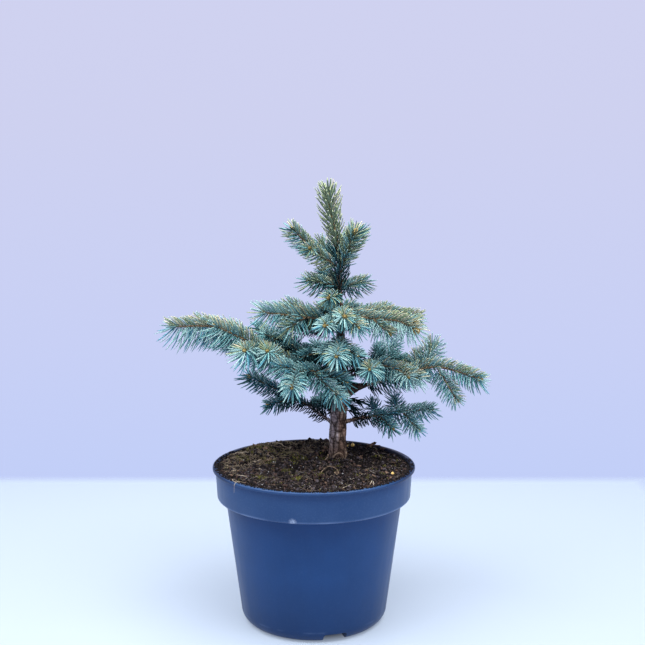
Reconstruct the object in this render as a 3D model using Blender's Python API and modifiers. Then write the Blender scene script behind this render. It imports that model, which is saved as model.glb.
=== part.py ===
"""A young blue spruce growing in a round nursery pot, in metres, +Z up, standing on z = 0.

The pot, its soil, the trunk, the bare boughs and the masses of needles are separate solids. The origin is
the middle of the pot's underside, +X is to the viewer's right and +Y is away from the viewer.
"""

import math
import random

import bmesh
import bpy
import numpy as np
from mathutils import Vector

MM = 0.001
GAP = 0.3 * MM

# Pot: a moulded plastic container with a lip, a wide band under it and drain notches in its foot.
POT_HEIGHT = 176.5 * MM
RIM_RADIUS = 113.8 * MM
WALL = 1.8 * MM
LIP = 1.2 * MM
LIP_HEIGHT = 3 * MM
BAND_HEIGHT = 35 * MM
BAND_RADIUS = 110.2 * MM
BAND_TAPER = 0.9 * MM
LEDGE_SLOPE = 3 * MM
WALL_TOP_RADIUS = 98.9 * MM
WALL_FOOT_RADIUS = 83 * MM
CORNER_HEIGHT = 14 * MM
CORNER_STEPS = 3
FOOT_RADIUS = 71.5 * MM
FLOOR = 13 * MM
FLOOR_FILLET = 8 * MM
TURN_STEPS = 40
TURN_MERGE = 0.02 * MM
NOTCHES = 3
NOTCH_WIDTH = 26 * MM
NOTCH_HEIGHT = 9.5 * MM
NOTCH_INNER_RADIUS = 48 * MM
NOTCH_TURN = 287
DRAIN_RADIUS = 4 * MM
DRAIN_PLACE = 60 * MM
DRAIN_SIDES = 12

# Soil: it fills the pot to just under the rim, with a level seat under the trunk. Each wave of its top is
# (radians a metre along X, radians a metre along Y, phase, share of the relief).
SOIL_TOP = 172.5 * MM
SOIL_RINGS = 4
SOIL_RELIEF = 1.5 * MM
SOIL_WAVES = ((46, 58, 1.3, 1.0), (95, -70, 0.0, 0.6))
SEAT_RADIUS = 24 * MM

# Trunk: its foot's place, then height above the soil, sideways shift and radius, in millimetres.
TRUNK_FOOT = (27.2 * MM, 38.5 * MM)
TRUNK = (
    (0, 0.0, 11.4),
    (5, 0.0, 10.7),
    (14, 0.0, 10.2),
    (43, 0.5, 9.7),
    (69, 2.8, 9.0),
    (92, 6.0, 7.6),
    (128, 4.3, 5.6),
    (157, 2.6, 4.4),
    (191, 1.9, 3.3),
    (222, 2.1, 2.7),
    (254, -1.6, 2.0),
    (279, -7.4, 1.6),
    (305, -10.6, 1.1),
)
TRUNK_ROUNDNESS = 4
ROOT_TURNS = (20, 110, 205, 300)
ROOT_HALF_WIDTH = 40
ROOT_SPREAD = 2.6 * MM
ROOT_TOP = 12 * MM
CLEARANCE = 1.1 * GAP

# Branches, in millimetres and degrees. Each has the height of its root on the trunk, its bare limb, its
# leafy stem and its side shoots. Limb and stem are runs of (length, turn, rise). A side shoot is (place
# along the stem, length, turn, rise). Turn is measured from +X towards +Y, and rise is above level.
BRANCHES = {
    "low_right": (42, [(34, 3, 11)], [(12, 0, 9), (32, 18, 4), (34, 355, 7)],
                  [(0.16, 20, 108, 34), (0.18, 27, 308, -24), (0.48, 20, 100, 48), (0.56, 30, 316, -36)]),
    "low_left": (37, [(44, 153, 29)], [(18, 155, 18), (18, 150, 24), (46, 182, 26)],
                 [(0.24, 32, 195, -8), (0.30, 34, 105, 12)]),
    "low_back": (50, [(38, 98, 4)], [(16, 96, 2), (44, 92, -4)],
                 [(0.25, 28, 142, -4), (0.30, 28, 44, -6), (0.55, 24, 118, 8)]),
    "mid_right": (80, [(30, 2, 13)], [(36, 16, 11), (48, 358, 15), (54, 338, -11)],
                  [(0.25, 40, 60, 10), (0.45, 34, 82, 20), (0.52, 36, 66, 40), (0.62, 46, 316, -50)]),
    "mid_right_front": (93, [(24, 350, 24)], [(22, 350, 24), (50, 336, -13)],
                        [(0.22, 36, 260, 2), (0.66, 18, 300, -15)]),
    "back_right": (100, [(40, 45, 4)], [(34, 43, 6), (32, 62, 32)],
                   [(0.25, 38, 80, 24), (0.42, 34, 72, -6), (0.50, 26, 24, 2)]),
    "mid_back": (92, [(36, 104, 14)], [(34, 100, 12), (44, 92, 8)],
                 [(0.20, 36, 140, 6), (0.35, 34, 62, 8), (0.55, 30, 130, 18)]),
    "front_left": (100, [(34, 228, 11)], [(29, 207, 5), (34, 255, -20)],
                   [(0.12, 36, 335, -14), (0.22, 50, 316, -30), (0.45, 24, 192, 18)]),
    "long_left": (96, [(38, 181, 14)], [(14, 181, 14), (46, 188, 24), (49, 181, 33), (60, 187, 3)],
                  [(0.22, 34, 130, 5), (0.25, 32, 254, 22), (0.38, 34, 246, 6), (0.46, 45, 200, 28),
                   (0.52, 32, 138, 8), (0.72, 22, 150, 10)]),
    "back_left": (107, [(38, 148, 12)], [(22, 148, 12), (62, 157, 26)],
                  [(0.15, 32, 95, 4), (0.34, 32, 190, 4), (0.45, 30, 110, 22)]),
    "inner_left": (126, [], [(24, 205, 4), (28, 215, -8)], []),
    "inner_right": (128, [], [(18, 340, -20), (14, 304, -30)], []),
    "front": (139, [], [(30, 266, -4), (36, 264, -9)], [(0.35, 24, 215, -18), (0.40, 26, 320, -20)]),
    "upper_back_left": (150, [(14, 140, 10)], [(30, 140, 12), (36, 135, 16)], [(0.35, 28, 180, 8)]),
    "upper_back": (158, [(14, 95, 10)], [(30, 95, 10), (36, 100, 4)],
                   [(0.30, 30, 140, 6), (0.35, 30, 60, 10)]),
    "upper_left": (161, [(14, 190, 8)], [(26, 192, 8), (50, 194, 8)],
                   [(0.22, 34, 148, 16), (0.34, 26, 216, -24)]),
    "upper_right_back": (162, [], [(56, 38, 7)], [(0.40, 30, 82, 4)]),
    "front_high_left": (166, [], [(50, 250, -4)], []),
    "upper_right": (170, [(14, 24, -2)], [(38, 20, -2), (43, 352, -5)], [(0.35, 26, 55, 5)]),
    "front_high_right": (172, [], [(48, 275, 1)], [(0.45, 30, 310, -24)]),
    "upper_right_front": (173, [(12, 338, -8)], [(24, 336, -12), (34, 341, -3), (24, 324, -19)],
                          [(0.35, 26, 322, -34), (0.74, 16, 350, -4)]),
    "small_front": (193, [], [(27, 243, -5)], []),
    "small_right": (199, [], [(35, 36, 9)], []),
    "small_left": (201, [], [(38, 199, 13)], []),
    "small_back": (204, [], [(40, 118, 14)], []),
    "top_right": (221, [], [(48, 318, 62)], [(0.60, 18, 20, 60)]),
    "top_left": (222, [], [(34, 200, 34), (39, 206, 42)], [(0.50, 13, 245, 15)]),
    "top_back_left": (228, [], [(42, 125, 30)], []),
    "top_back_right": (232, [], [(38, 66, 40)], []),
}
LEADER_FROM = 243
LEADER_CAP = 4 * MM
LEADER_ROOT = 3.9 * MM
LEADER_TIP = 2.1 * MM

# Twigs: on boughs that grow away from the viewer, each long shoot bears short ones, where there is room.
TWIG_BRANCHES = ("low_back", "mid_back", "back_left", "upper_back_left", "upper_back", "upper_right_back")
TWIG_SHOOT_LENGTH = 34 * MM
TWIG_PLACES = (0.32, 0.58)
TWIG_SHARE = 0.42
TWIG_LONGEST = 26 * MM
TWIG_SPREAD = (44, 60)
TWIG_LIFT = (-0.1, 0.35)
TWIG_CLEARANCE = 6 * MM

# Limb thickness grows with the length of shoots that the limb carries. A limb ends in a short straight lead,
# square to the gap before its stem.
LIMB_LEAST = 1.0 * MM
LIMB_PER_METRE = 6.5 * MM
LIMB_TAPER = 0.78
LIMB_STEP = 8 * MM
LIMB_LEAD = 2 * MM
LIMB_ROUNDNESS = 1
COLLAR = 1.2
CURVE_STEPS = 8

# Shoots: a slim core whose teeth stand for its needles, fewer and stouter than life. They go round the core
# in staggered rings, lean towards its tip, and are flatter underneath. Their length, in millimetres, goes by
# their height above the soil, and it is less on the shaded branches.
CORE_RADIUS = 2.1 * MM
CORE_TIP = 1.3 * MM
CORE_LEAST = 0.7 * MM
CORE_SIDES = 6
RING_STEP = 4.9 * MM
STEM_BARE = 2 * MM
SIDE_BARE = 5 * MM
TRUNK_BARE = 3 * MM
TOOTH_HEIGHTS = (0, 70, 92, 112, 150, 176, 196, 240, 305)
TOOTH_LENGTHS = (14.5, 15, 19, 21, 21.5, 19, 16, 17, 19.5)
SHADED = ("low_back", "back_right", "mid_back", "back_left", "inner_left", "inner_right")
SHADED_SHARE = 0.74
TOOTH_VARIES = (0.92, 1.06)
TOOTH_THICKNESS = 3.9 * MM
TOOTH_SHARES = (1.0, 0.85, 0.7, 0.55, 0.4)
TOOTH_LEAN = 60
TOOTH_LEAN_VARIES = 5
TOOTH_SAG = 12
TIP_LEAN = 34
TIP_REGION = 9 * MM
TIP_TOOTH = 12 * MM
SEED = 7

# Materials: base colour, roughness and metallic value.
MATERIALS = {
    "pot_plastic": ((0.022, 0.065, 0.205), 0.45, 0.0),
    "soil": ((0.035, 0.024, 0.018), 0.95, 0.0),
    "bark": ((0.13, 0.085, 0.062), 0.9, 0.0),
    "needles": ((0.10, 0.24, 0.24), 0.55, 0.0),
}


def material(name):
    colour, roughness, metallic = MATERIALS[name]
    made = bpy.data.materials.new(name)
    made.use_nodes = True
    shader = made.node_tree.nodes["Principled BSDF"]
    shader.inputs["Base Color"].default_value = (*colour, 1.0)
    shader.inputs["Roughness"].default_value = roughness
    shader.inputs["Metallic"].default_value = metallic
    return made


def clear_scene():
    for obj in list(bpy.data.objects):
        bpy.data.objects.remove(obj, do_unlink=True)


def collection(name, helper=False):
    made = bpy.data.collections.new(name)
    bpy.context.scene.collection.children.link(made)
    made.hide_render = helper
    return made


def add_object(name, mesh, into, finish=None):
    obj = bpy.data.objects.new(name, mesh)
    into.objects.link(obj)
    if finish:
        mesh.materials.clear()
        mesh.materials.append(finish)
    return obj


def as_cutter(obj):
    obj.hide_render = True
    obj.display_type = "WIRE"
    return obj


def applied_mesh(obj):
    """The object's mesh with its modifiers applied, or a curve's tube with its caps welded on."""
    bpy.context.view_layer.update()
    graph = bpy.context.evaluated_depsgraph_get()
    mesh = bpy.data.meshes.new_from_object(obj.evaluated_get(graph), depsgraph=graph)
    work = bmesh.new()
    work.from_mesh(mesh)
    bmesh.ops.remove_doubles(work, verts=work.verts, dist=1e-6)
    bmesh.ops.recalc_face_normals(work, faces=work.faces)
    work.to_mesh(mesh)
    work.free()
    return mesh


def tube(name, points, radii, into, resolution=0, finish=None):
    """A tapering limb: a curve through the points, thickened by its radii, made into a closed mesh."""
    curve = bpy.data.curves.new(name, "CURVE")
    curve.dimensions = "3D"
    curve.bevel_depth = 1.0
    curve.bevel_resolution = resolution
    curve.use_fill_caps = True
    spline = curve.splines.new("POLY")
    spline.points.add(len(points) - 1)
    for knot, place, radius in zip(spline.points, points, radii):
        knot.co = (*place, 1.0)
        knot.radius = radius
    guide = add_object(name + "_guide", curve, into)
    mesh = applied_mesh(guide)
    bpy.data.objects.remove(guide, do_unlink=True)
    bpy.data.curves.remove(curve)
    mesh.name = name
    return add_object(name, mesh, into, finish)


def boolean(obj, operation, other, solver="EXACT"):
    change = obj.modifiers.new(operation.lower(), "BOOLEAN")
    change.operation = operation
    change.solver = solver
    if isinstance(other, bpy.types.Collection):
        change.operand_type = "COLLECTION"
        change.collection = other
    else:
        change.object = other
    return change


def apply_all(obj):
    """Replaces the object's mesh by what its modifiers make of it."""
    finish = obj.data.materials[0] if obj.data.materials else None
    mesh = applied_mesh(obj)
    obj.modifiers.clear()
    obj.data = mesh
    mesh.name = obj.name
    mesh.materials.clear()
    if finish:
        mesh.materials.append(finish)


def turned(name, profile, into, finish=None):
    """A profile of (radius, height), closed but for a stretch on the axis, turned once round Z."""
    mesh = bpy.data.meshes.new(name)
    edges = [(i, (i + 1) % len(profile)) for i in range(len(profile))]
    edges = [(a, b) for a, b in edges if profile[a][0] > 0 or profile[b][0] > 0]
    mesh.from_pydata([(radius, 0, height) for radius, height in profile], edges, [])
    obj = add_object(name, mesh, into, finish)
    screw = obj.modifiers.new("turn", "SCREW")
    screw.axis = "Z"
    screw.angle = math.tau
    screw.steps = TURN_STEPS
    screw.render_steps = TURN_STEPS
    screw.use_merge_vertices = True
    screw.merge_threshold = TURN_MERGE
    return obj


def pot_outside():
    """The pot's outer side as (radius, height), down from its rim and in under its rounded foot."""
    band_foot = POT_HEIGHT - BAND_HEIGHT
    spread = WALL_FOOT_RADIUS - FOOT_RADIUS
    turns = [math.radians(90 * step / CORNER_STEPS) for step in range(CORNER_STEPS)]
    corner = [(FOOT_RADIUS + spread * math.cos(turn), CORNER_HEIGHT * (1 - math.sin(turn))) for turn in turns]
    return [
        (BAND_RADIUS - WALL + LIP, POT_HEIGHT),
        (RIM_RADIUS - LIP, POT_HEIGHT),
        (RIM_RADIUS, POT_HEIGHT - LIP),
        (RIM_RADIUS, POT_HEIGHT - LIP_HEIGHT),
        (BAND_RADIUS, POT_HEIGHT - LIP_HEIGHT),
        (BAND_RADIUS - BAND_TAPER, band_foot + LIP),
        (BAND_RADIUS - BAND_TAPER - LIP, band_foot),
        (WALL_TOP_RADIUS, band_foot - LEDGE_SLOPE),
        *corner,
        (FOOT_RADIUS, 0.0),
        (0.0, 0.0),
    ]


def pot_inside():
    """The pot's inner side as (radius, height), out over its floor and up to its rim."""
    band_foot = POT_HEIGHT - BAND_HEIGHT
    return [
        (0.0, FLOOR),
        (FOOT_RADIUS, FLOOR),
        (WALL_FOOT_RADIUS - WALL, FLOOR + FLOOR_FILLET),
        (WALL_TOP_RADIUS - WALL, band_foot - LEDGE_SLOPE + WALL),
        (BAND_RADIUS - BAND_TAPER - LIP - WALL, band_foot + WALL),
        (BAND_RADIUS - WALL, POT_HEIGHT - LIP),
    ]


def box_cutter(name, size, middle, turn, into):
    mesh = bpy.data.meshes.new(name)
    work = bmesh.new()
    bmesh.ops.create_cube(work, size=1.0)
    bmesh.ops.scale(work, vec=size, verts=work.verts)
    work.to_mesh(mesh)
    work.free()
    obj = as_cutter(add_object(name, mesh, into))
    obj.location = middle
    obj.rotation_euler = (0, 0, turn)
    return obj


def drill(name, radius, depth, middle, into):
    mesh = bpy.data.meshes.new(name)
    work = bmesh.new()
    shape = {"segments": DRAIN_SIDES, "radius1": radius, "radius2": radius, "depth": depth}
    bmesh.ops.create_cone(work, cap_ends=True, **shape)
    work.to_mesh(mesh)
    work.free()
    obj = as_cutter(add_object(name, mesh, into))
    obj.location = middle
    return obj


def make_pot(parts, cutters, finish):
    pot = turned("pot", pot_outside() + pot_inside(), parts, finish)
    reach = RIM_RADIUS - NOTCH_INNER_RADIUS
    for number in range(NOTCHES):
        turn = math.radians(NOTCH_TURN + 360 / NOTCHES * number)
        outward = Vector((math.cos(turn), math.sin(turn), 0))
        middle = outward * (NOTCH_INNER_RADIUS + reach / 2)
        notch = box_cutter(f"notch_{number}", (reach, NOTCH_WIDTH, 2 * NOTCH_HEIGHT), middle, turn, cutters)
        boolean(pot, "DIFFERENCE", notch)
        drain = drill(f"drain_{number}", DRAIN_RADIUS, 4 * FLOOR, outward * DRAIN_PLACE, cutters)
        boolean(pot, "DIFFERENCE", drain)
    apply_all(pot)


def soil_height(x, y):
    """How far the soil's top stands above or below its level, fading to nothing round the trunk and rim."""
    from_trunk = math.hypot(x - TRUNK_FOOT[0], y - TRUNK_FOOT[1])
    from_rim = BAND_RADIUS - math.hypot(x, y)
    fade = min(1.0, max(0.0, from_trunk / SEAT_RADIUS - 1.0), max(0.0, from_rim / SEAT_RADIUS))
    waves = sum(share * math.sin(a * x + b * y + phase) for a, b, phase, share in SOIL_WAVES)
    return SOIL_RELIEF * fade * waves


def make_soil(parts, finish):
    """A plug that follows the pot's inside, with a gap all round, and has a gently uneven top."""
    inside = pot_inside()
    (ledge_radius, ledge_height), (rim_radius, rim_height) = inside[-2:]
    slope = (rim_radius - ledge_radius) / (rim_height - ledge_height)
    top_radius = ledge_radius + slope * (SOIL_TOP - ledge_height) - GAP
    rings = [(top_radius * ring / SOIL_RINGS, SOIL_TOP - GAP) for ring in range(SOIL_RINGS + 1)]
    sides = [(max(0.0, radius - GAP), height + GAP) for radius, height in inside[:-1]]
    soil = turned("soil", rings[-1:] + sides[::-1] + rings[:-1], parts, finish)
    apply_all(soil)
    for vertex in soil.data.vertices:
        if vertex.co.z > SOIL_TOP - 2 * GAP:
            vertex.co.z += soil_height(vertex.co.x, vertex.co.y)


def heading(turn, rise):
    level = math.cos(math.radians(rise))
    turn = math.radians(turn)
    return np.array((math.cos(turn) * level, math.sin(turn) * level, math.sin(math.radians(rise))))


def trunk_point(height):
    """The trunk's centre at a height above the soil, in millimetres."""
    heights, shifts, _ = zip(*TRUNK)
    shift = np.interp(height, heights, shifts) * MM
    return np.array((TRUNK_FOOT[0] + shift, TRUNK_FOOT[1], SOIL_TOP + height * MM))


def trunk_radius(height):
    heights, _, radii = zip(*TRUNK)
    return float(np.interp(height, heights, radii)) * MM


def walk(start, runs):
    points = [start]
    for length, turn, rise in runs:
        points.append(points[-1] + length * MM * heading(turn, rise))
    return np.array(points)


def distances(points):
    """How far along the line each of its points is."""
    steps = np.linalg.norm(np.diff(points, axis=0), axis=1)
    return np.concatenate(([0.0], np.cumsum(steps)))


def point_along(points, place):
    at = distances(points)
    return np.array([np.interp(place * at[-1], at, points[:, axis]) for axis in range(3)])


def shares(points):
    """Each point's distance along the line as a share of the whole."""
    at = distances(points)
    return at / at[-1]


def evenly(points, step):
    """Points at even steps along a line, with both of its ends."""
    places = np.linspace(0, 1, max(2, round(distances(points)[-1] / step) + 1))
    return np.array([point_along(points, place) for place in places])


def curve_spans(points):
    """The smooth curve through the points by Catmull and Rom's rule, one array of points for each span."""
    padded = np.array([2 * points[0] - points[1], *points, 2 * points[-1] - points[-2]])
    spans = []
    for a, b, c, d in zip(padded[:-3], padded[1:-2], padded[2:-1], padded[3:]):
        t = np.linspace(0, 1, CURVE_STEPS + 1)[:, None]
        curve = 2 * b + (c - a) * t + (2 * a - 5 * b + 4 * c - d) * t**2
        spans.append((curve + (3 * b - a - 3 * c + d) * t**3) / 2)
    return spans


class Branch:
    """One branch: its limb's points and radii, and its shoots' lines, the leafy stem first."""

    def __init__(self, name, height, limb, stem, shoots):
        self.name = name
        self.height = height
        carried = MM * (sum(run[0] for run in stem) + sum(shoot[1] for shoot in shoots))
        self.radius = LIMB_LEAST + LIMB_PER_METRE * carried
        knots = walk(trunk_point(height), limb + stem)
        spans = curve_spans(knots)
        stem_line = evenly(np.concatenate(spans[len(limb):]), MM)
        self.limb = None
        if limb:
            joint = knots[len(limb)]
            along = knots[len(limb) + 1] - knots[len(limb) - 1]
            along = along / np.linalg.norm(along)
            bare = evenly(np.concatenate(spans[:len(limb)]), LIMB_STEP)
            self.limb = np.array([*bare[:-1], joint - LIMB_LEAD * along, joint - GAP / 2 * along])
            stem_line = np.array([joint + GAP / 2 * along, joint + MM * along, *stem_line[2:]])
        self.shoots = [stem_line]
        for place, length, turn, rise in shoots:
            side = walk(point_along(stem_line, place), [(length, turn, rise)])
            self.shoots.append(evenly(side, MM))

    def limb_radii(self, points):
        taper = 1.0 + (LIMB_TAPER - 1.0) * shares(points)
        taper[0] = COLLAR
        return self.radius * taper


def twig_candidates(line, draw):
    """Short twigs that could stand on a shoot, to its left and right in turn and a little upwards."""
    length = distances(line)[-1]
    side = draw.choice((-1, 1))
    for place in TWIG_PLACES:
        spread = math.radians(draw.uniform(*TWIG_SPREAD))
        lift = draw.uniform(*TWIG_LIFT)
        root = point_along(line, place)
        ahead = point_along(line, place + 0.05) - root
        ahead /= np.linalg.norm(ahead)
        across = np.cross((0.0, 0.0, 1.0), ahead)
        across = side * across / np.linalg.norm(across) + np.array((0.0, 0.0, lift))
        direction = math.cos(spread) * ahead + math.sin(spread) * across
        side = -side
        reach = min(TWIG_LONGEST, TWIG_SHARE * length) * direction / np.linalg.norm(direction)
        if length > TWIG_SHOOT_LENGTH:
            yield evenly(np.array([root, root + reach]), MM)


def grow_twigs(branches, space):
    """Adds each twig that stays clear of every other mass, of all wood and of its own mass's shoots."""
    for branch in branches:
        if branch.name not in TWIG_BRANCHES:
            continue
        draw = random.Random(f"{SEED} twigs {branch.name}")
        for number, parent in enumerate(list(branch.shoots)):
            for twig in twig_candidates(parent, draw):
                outer = twig[len(twig) // 2:]
                key = (branch.name, number)
                own = space.to_shoots(outer, lambda other, key=key: other[0] == key[0] and other != key)
                apart = np.minimum(own, space.to_other_masses(branch.name, outer))
                if min(apart.min(), space.to_wood(outer).min()) > TWIG_CLEARANCE:
                    space.axes[branch.name, len(branch.shoots)] = twig
                    branch.shoots.append(twig)


def own_wood(name):
    """The leader's needles stand round the trunk itself, and its clearance cuts their roots."""
    return ("trunk",) if name == "leader" else ()


class Space:
    """The room that a tooth keeps to: nearer to its own shoot than to any other, and clear of all wood."""

    def __init__(self, branches, leader):
        self.axes = {(b.name, number): line for b in branches for number, line in enumerate(b.shoots)}
        self.axes["leader", 0] = leader
        heights = np.arange(0, TRUNK[-1][0], 1.0)
        trunk = np.array([trunk_point(height) for height in heights])
        trunk_radii = np.array([trunk_radius(height) for height in heights])
        self.wood = {"trunk": (trunk, trunk_radii)}
        for branch in branches:
            if branch.limb is not None:
                points = evenly(branch.limb, MM)
                self.wood[branch.name] = (points, branch.limb_radii(points))

    def to_shoots(self, points, wanted):
        """The distance from each point to the nearest of the wanted shoots."""
        lines = np.concatenate([line for key, line in self.axes.items() if wanted(key)])
        return np.linalg.norm(points[:, None] - lines[None], axis=2).min(axis=1)

    def to_other_masses(self, mass, points):
        return self.to_shoots(points, lambda key: key[0] != mass)

    def to_wood(self, points, leave_out=()):
        """The distance from each point to the nearest bark."""
        found = np.full(len(points), np.inf)
        for other, (axis, radii) in self.wood.items():
            if other not in leave_out:
                apart = (np.linalg.norm(points[:, None] - axis[None], axis=2) - radii).min(axis=1)
                found = np.minimum(found, apart)
        return found

    def is_free(self, key, points, thick):
        margin = self.to_shoots(points, lambda other: other != key)
        margin -= self.to_shoots(points, lambda other: other == key)
        wood = self.to_wood(points, leave_out=own_wood(key[0]))
        return bool(((margin > 2 * thick) & (wood > thick)).all())

    def share_inside(self, key, root, reach, thickness):
        """The greatest share of its length at which a tooth stays in its shoot's room, or nothing."""
        places = np.linspace(0.0, 1.0, 10)
        thick = thickness * (1 - places) + GAP
        for share in TOOTH_SHARES:
            if self.is_free(key, root + places[:, None] * reach * share, thick):
                return share
        return 0.0


def frames(points, start):
    """The direction at each point of a line, and two more square to it that turn as little as they can."""
    ahead = np.gradient(points, axis=0)
    ahead[0] = start
    ahead /= np.linalg.norm(ahead, axis=1)[:, None]
    level = np.cross(ahead[0], (0.0, 0.0, 1.0))
    if np.linalg.norm(level) < 0.2:
        level = np.cross(ahead[0], (0.0, 1.0, 0.0))
    sides = []
    for axis in ahead:
        level = level - axis * (level @ axis)
        level = level / np.linalg.norm(level)
        sides.append(level)
    sides = np.array(sides)
    return ahead, sides, np.cross(sides, ahead)


def core_radii(space, name, points, root_radius):
    """A shoot's core narrows to its tip and keeps to the mass's room."""
    share = shares(points)
    thick = np.maximum(root_radius, CORE_RADIUS) * (1 - share) + CORE_TIP * share
    room = (space.to_other_masses(name, points) - 2 * GAP) / 2
    away = space.to_wood(points, leave_out=("trunk", name)) - GAP
    return np.maximum(CORE_LEAST, np.minimum(thick, np.minimum(room, away)))


def toothed_shoot(name, key, line, radii_of, bare, space, draw, into, finish=None):
    """A core whose every second point is drawn out into a tooth, and whose end runs out to a point."""
    points = evenly(line, RING_STEP)
    radii = radii_of(points)
    ahead, sides, ups = frames(points, line[1] - line[0])
    at = distances(points)
    first = draw.uniform(0, 360 / CORE_SIDES)
    work = bmesh.new()
    rings = []
    for j, centre in enumerate(points):
        ring = []
        for k in range(CORE_SIDES):
            turn = math.radians(first + 360 / CORE_SIDES * k)
            outward = math.cos(turn) * sides[j] + math.sin(turn) * ups[j]
            place = centre + radii[j] * outward
            if (j + k) % 2 == 0 and at[j] >= bare and j < len(points) - 1:
                place = place + tooth(place, ahead[j], outward, at[-1] - at[j], key, space, draw)
            ring.append(work.verts.new(place))
        rings.append(ring)
    end = points[-1] + radii[-1] * ahead[-1]
    reach = TIP_TOOTH * ahead[-1]
    end = end + reach * space.share_inside(key, end, reach, CORE_TIP)
    apex = work.verts.new(end)
    work.faces.new(rings[0])
    for j, (ring, after) in enumerate(zip(rings[:-1], rings[1:])):
        for k in range(CORE_SIDES):
            a, b, c, d = ring[k], ring[k - 1], after[k - 1], after[k]
            if (j + k) % 2 == 0:
                triangles = ((a, b, d), (c, d, b))
            else:
                triangles = ((a, b, c), (a, c, d))
            for corners in triangles:
                work.faces.new(corners)
    for k in range(CORE_SIDES):
        work.faces.new((rings[-1][k], rings[-1][k - 1], apex))
    bmesh.ops.recalc_face_normals(work, faces=work.faces)
    mesh = bpy.data.meshes.new(name)
    work.to_mesh(mesh)
    work.free()
    return add_object(name, mesh, into, finish)


def tooth(root, axis, outward, to_tip, key, space, draw):
    """How far a tooth draws its point out of the core."""
    lean = TIP_LEAN + (TOOTH_LEAN - TIP_LEAN) * min(1.0, to_tip / TIP_REGION)
    lean -= TOOTH_SAG * outward[2] * min(1.0, to_tip / TIP_REGION)
    lean = math.radians(lean + draw.uniform(-TOOTH_LEAN_VARIES, TOOTH_LEAN_VARIES))
    length = np.interp((root[2] - SOIL_TOP) / MM, TOOTH_HEIGHTS, TOOTH_LENGTHS) * MM
    length *= draw.uniform(*TOOTH_VARIES)
    if key[0] in SHADED:
        length *= SHADED_SHARE
    reach = length * (math.cos(lean) * axis + math.sin(lean) * outward)
    return reach * space.share_inside(key, root, reach, TOOTH_THICKNESS)


def make_mass(mass, shoots, root_radius, bare, space, cut, parts, finish):
    """The stem with its side shoots joined on, as one body."""
    draw = random.Random(f"{SEED} {mass}")
    pieces = collection(mass + "_pieces", helper=True)
    for number, line in enumerate(shoots):
        least = root_radius if number == 0 else CORE_TIP

        def radii_of(points, least=least):
            if mass == "leader":
                return root_radius + (LEADER_TIP - root_radius) * shares(points)
            return core_radii(space, mass, points, least)

        if number == 0:
            label = "needles_" + mass
            stem = toothed_shoot(label, (mass, 0), line, radii_of, bare, space, draw, parts, finish)
        else:
            label = f"{mass}_shoot_{number}"
            toothed_shoot(label, (mass, number), line, radii_of, SIDE_BARE, space, draw, pieces)
    if pieces.objects:
        boolean(stem, "UNION", pieces, solver="MANIFOLD")
    if cut:
        boolean(stem, "DIFFERENCE", cut)
    apply_all(stem)
    remove_pieces(pieces)


def remove_pieces(pieces):
    for obj in list(pieces.objects):
        mesh = obj.data
        bpy.data.objects.remove(obj, do_unlink=True)
        bpy.data.meshes.remove(mesh)
    bpy.data.collections.remove(pieces)


def make_trunk(parts, finish):
    """The trunk from its flat cut at the soil to its tip, with root lobes spreading at its foot."""
    points = [trunk_point(height) for height, _, _ in TRUNK]
    radii = [radius * MM for _, _, radius in TRUNK]
    trunk = tube("trunk", points, radii, parts, resolution=TRUNK_ROUNDNESS, finish=finish)
    for vertex in trunk.data.vertices:
        height = vertex.co.z - SOIL_TOP
        out = Vector((vertex.co.x - TRUNK_FOOT[0], vertex.co.y - TRUNK_FOOT[1], 0))
        if height < ROOT_TOP and out.length > MM:
            turn = math.degrees(math.atan2(out.y, out.x))
            nearest = min(abs((turn - root + 180) % 360 - 180) for root in ROOT_TURNS)
            lobe = max(0.0, 1 - nearest / ROOT_HALF_WIDTH) * (1 - height / ROOT_TOP) ** 2
            vertex.co += out.normalized() * ROOT_SPREAD * lobe


def make_clearance(cutters):
    """The trunk made thicker by the gap, which cuts boughs and masses clear of it."""
    heights = [height for height, _, _ in TRUNK if height * MM > ROOT_TOP]
    points = [trunk_point(height) for height in heights]
    radii = [trunk_radius(height) + CLEARANCE for height in heights]
    points.append(points[-1] + np.array((0.0, 0.0, 2 * CLEARANCE)))
    radii.append(radii[-1] - CLEARANCE)
    return as_cutter(tube("trunk_clearance", points, radii, cutters, resolution=TRUNK_ROUNDNESS))


def leader_points():
    """The sleeve of the leading shoot runs up the trunk and closes over its tip."""
    points = [trunk_point(height) for height in np.linspace(LEADER_FROM, TRUNK[-1][0], 6)]
    end = points[-1] - points[-2]
    return np.array([*points, points[-1] + LEADER_CAP * end / np.linalg.norm(end)])


def make_bough(branch, clearance, parts, finish):
    radii = branch.limb_radii(branch.limb)
    name = "bough_" + branch.name
    bough = tube(name, branch.limb, radii, parts, resolution=LIMB_ROUNDNESS, finish=finish)
    boolean(bough, "DIFFERENCE", clearance)
    apply_all(bough)


def main():
    clear_scene()
    parts = collection("potted_blue_spruce")
    cutters = collection("cutters", helper=True)
    bark = material("bark")
    foliage = material("needles")

    make_pot(parts, cutters, material("pot_plastic"))
    make_soil(parts, material("soil"))
    make_trunk(parts, bark)
    clearance = make_clearance(cutters)
    branches = [Branch(name, *row) for name, row in BRANCHES.items()]
    leader = leader_points()
    space = Space(branches, leader)
    grow_twigs(branches, space)
    for branch in branches:
        on_limb = branch.limb is not None
        if on_limb:
            make_bough(branch, clearance, parts, bark)
        radius = branch.radius * (LIMB_TAPER if on_limb else 1.0)
        bare = STEM_BARE if on_limb else trunk_radius(branch.height) + TRUNK_BARE
        cut = None if on_limb else clearance
        make_mass(branch.name, branch.shoots, radius, bare, space, cut, parts, foliage)
    make_mass("leader", [leader], LEADER_ROOT, STEM_BARE, space, clearance, parts, foliage)


main()
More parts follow.
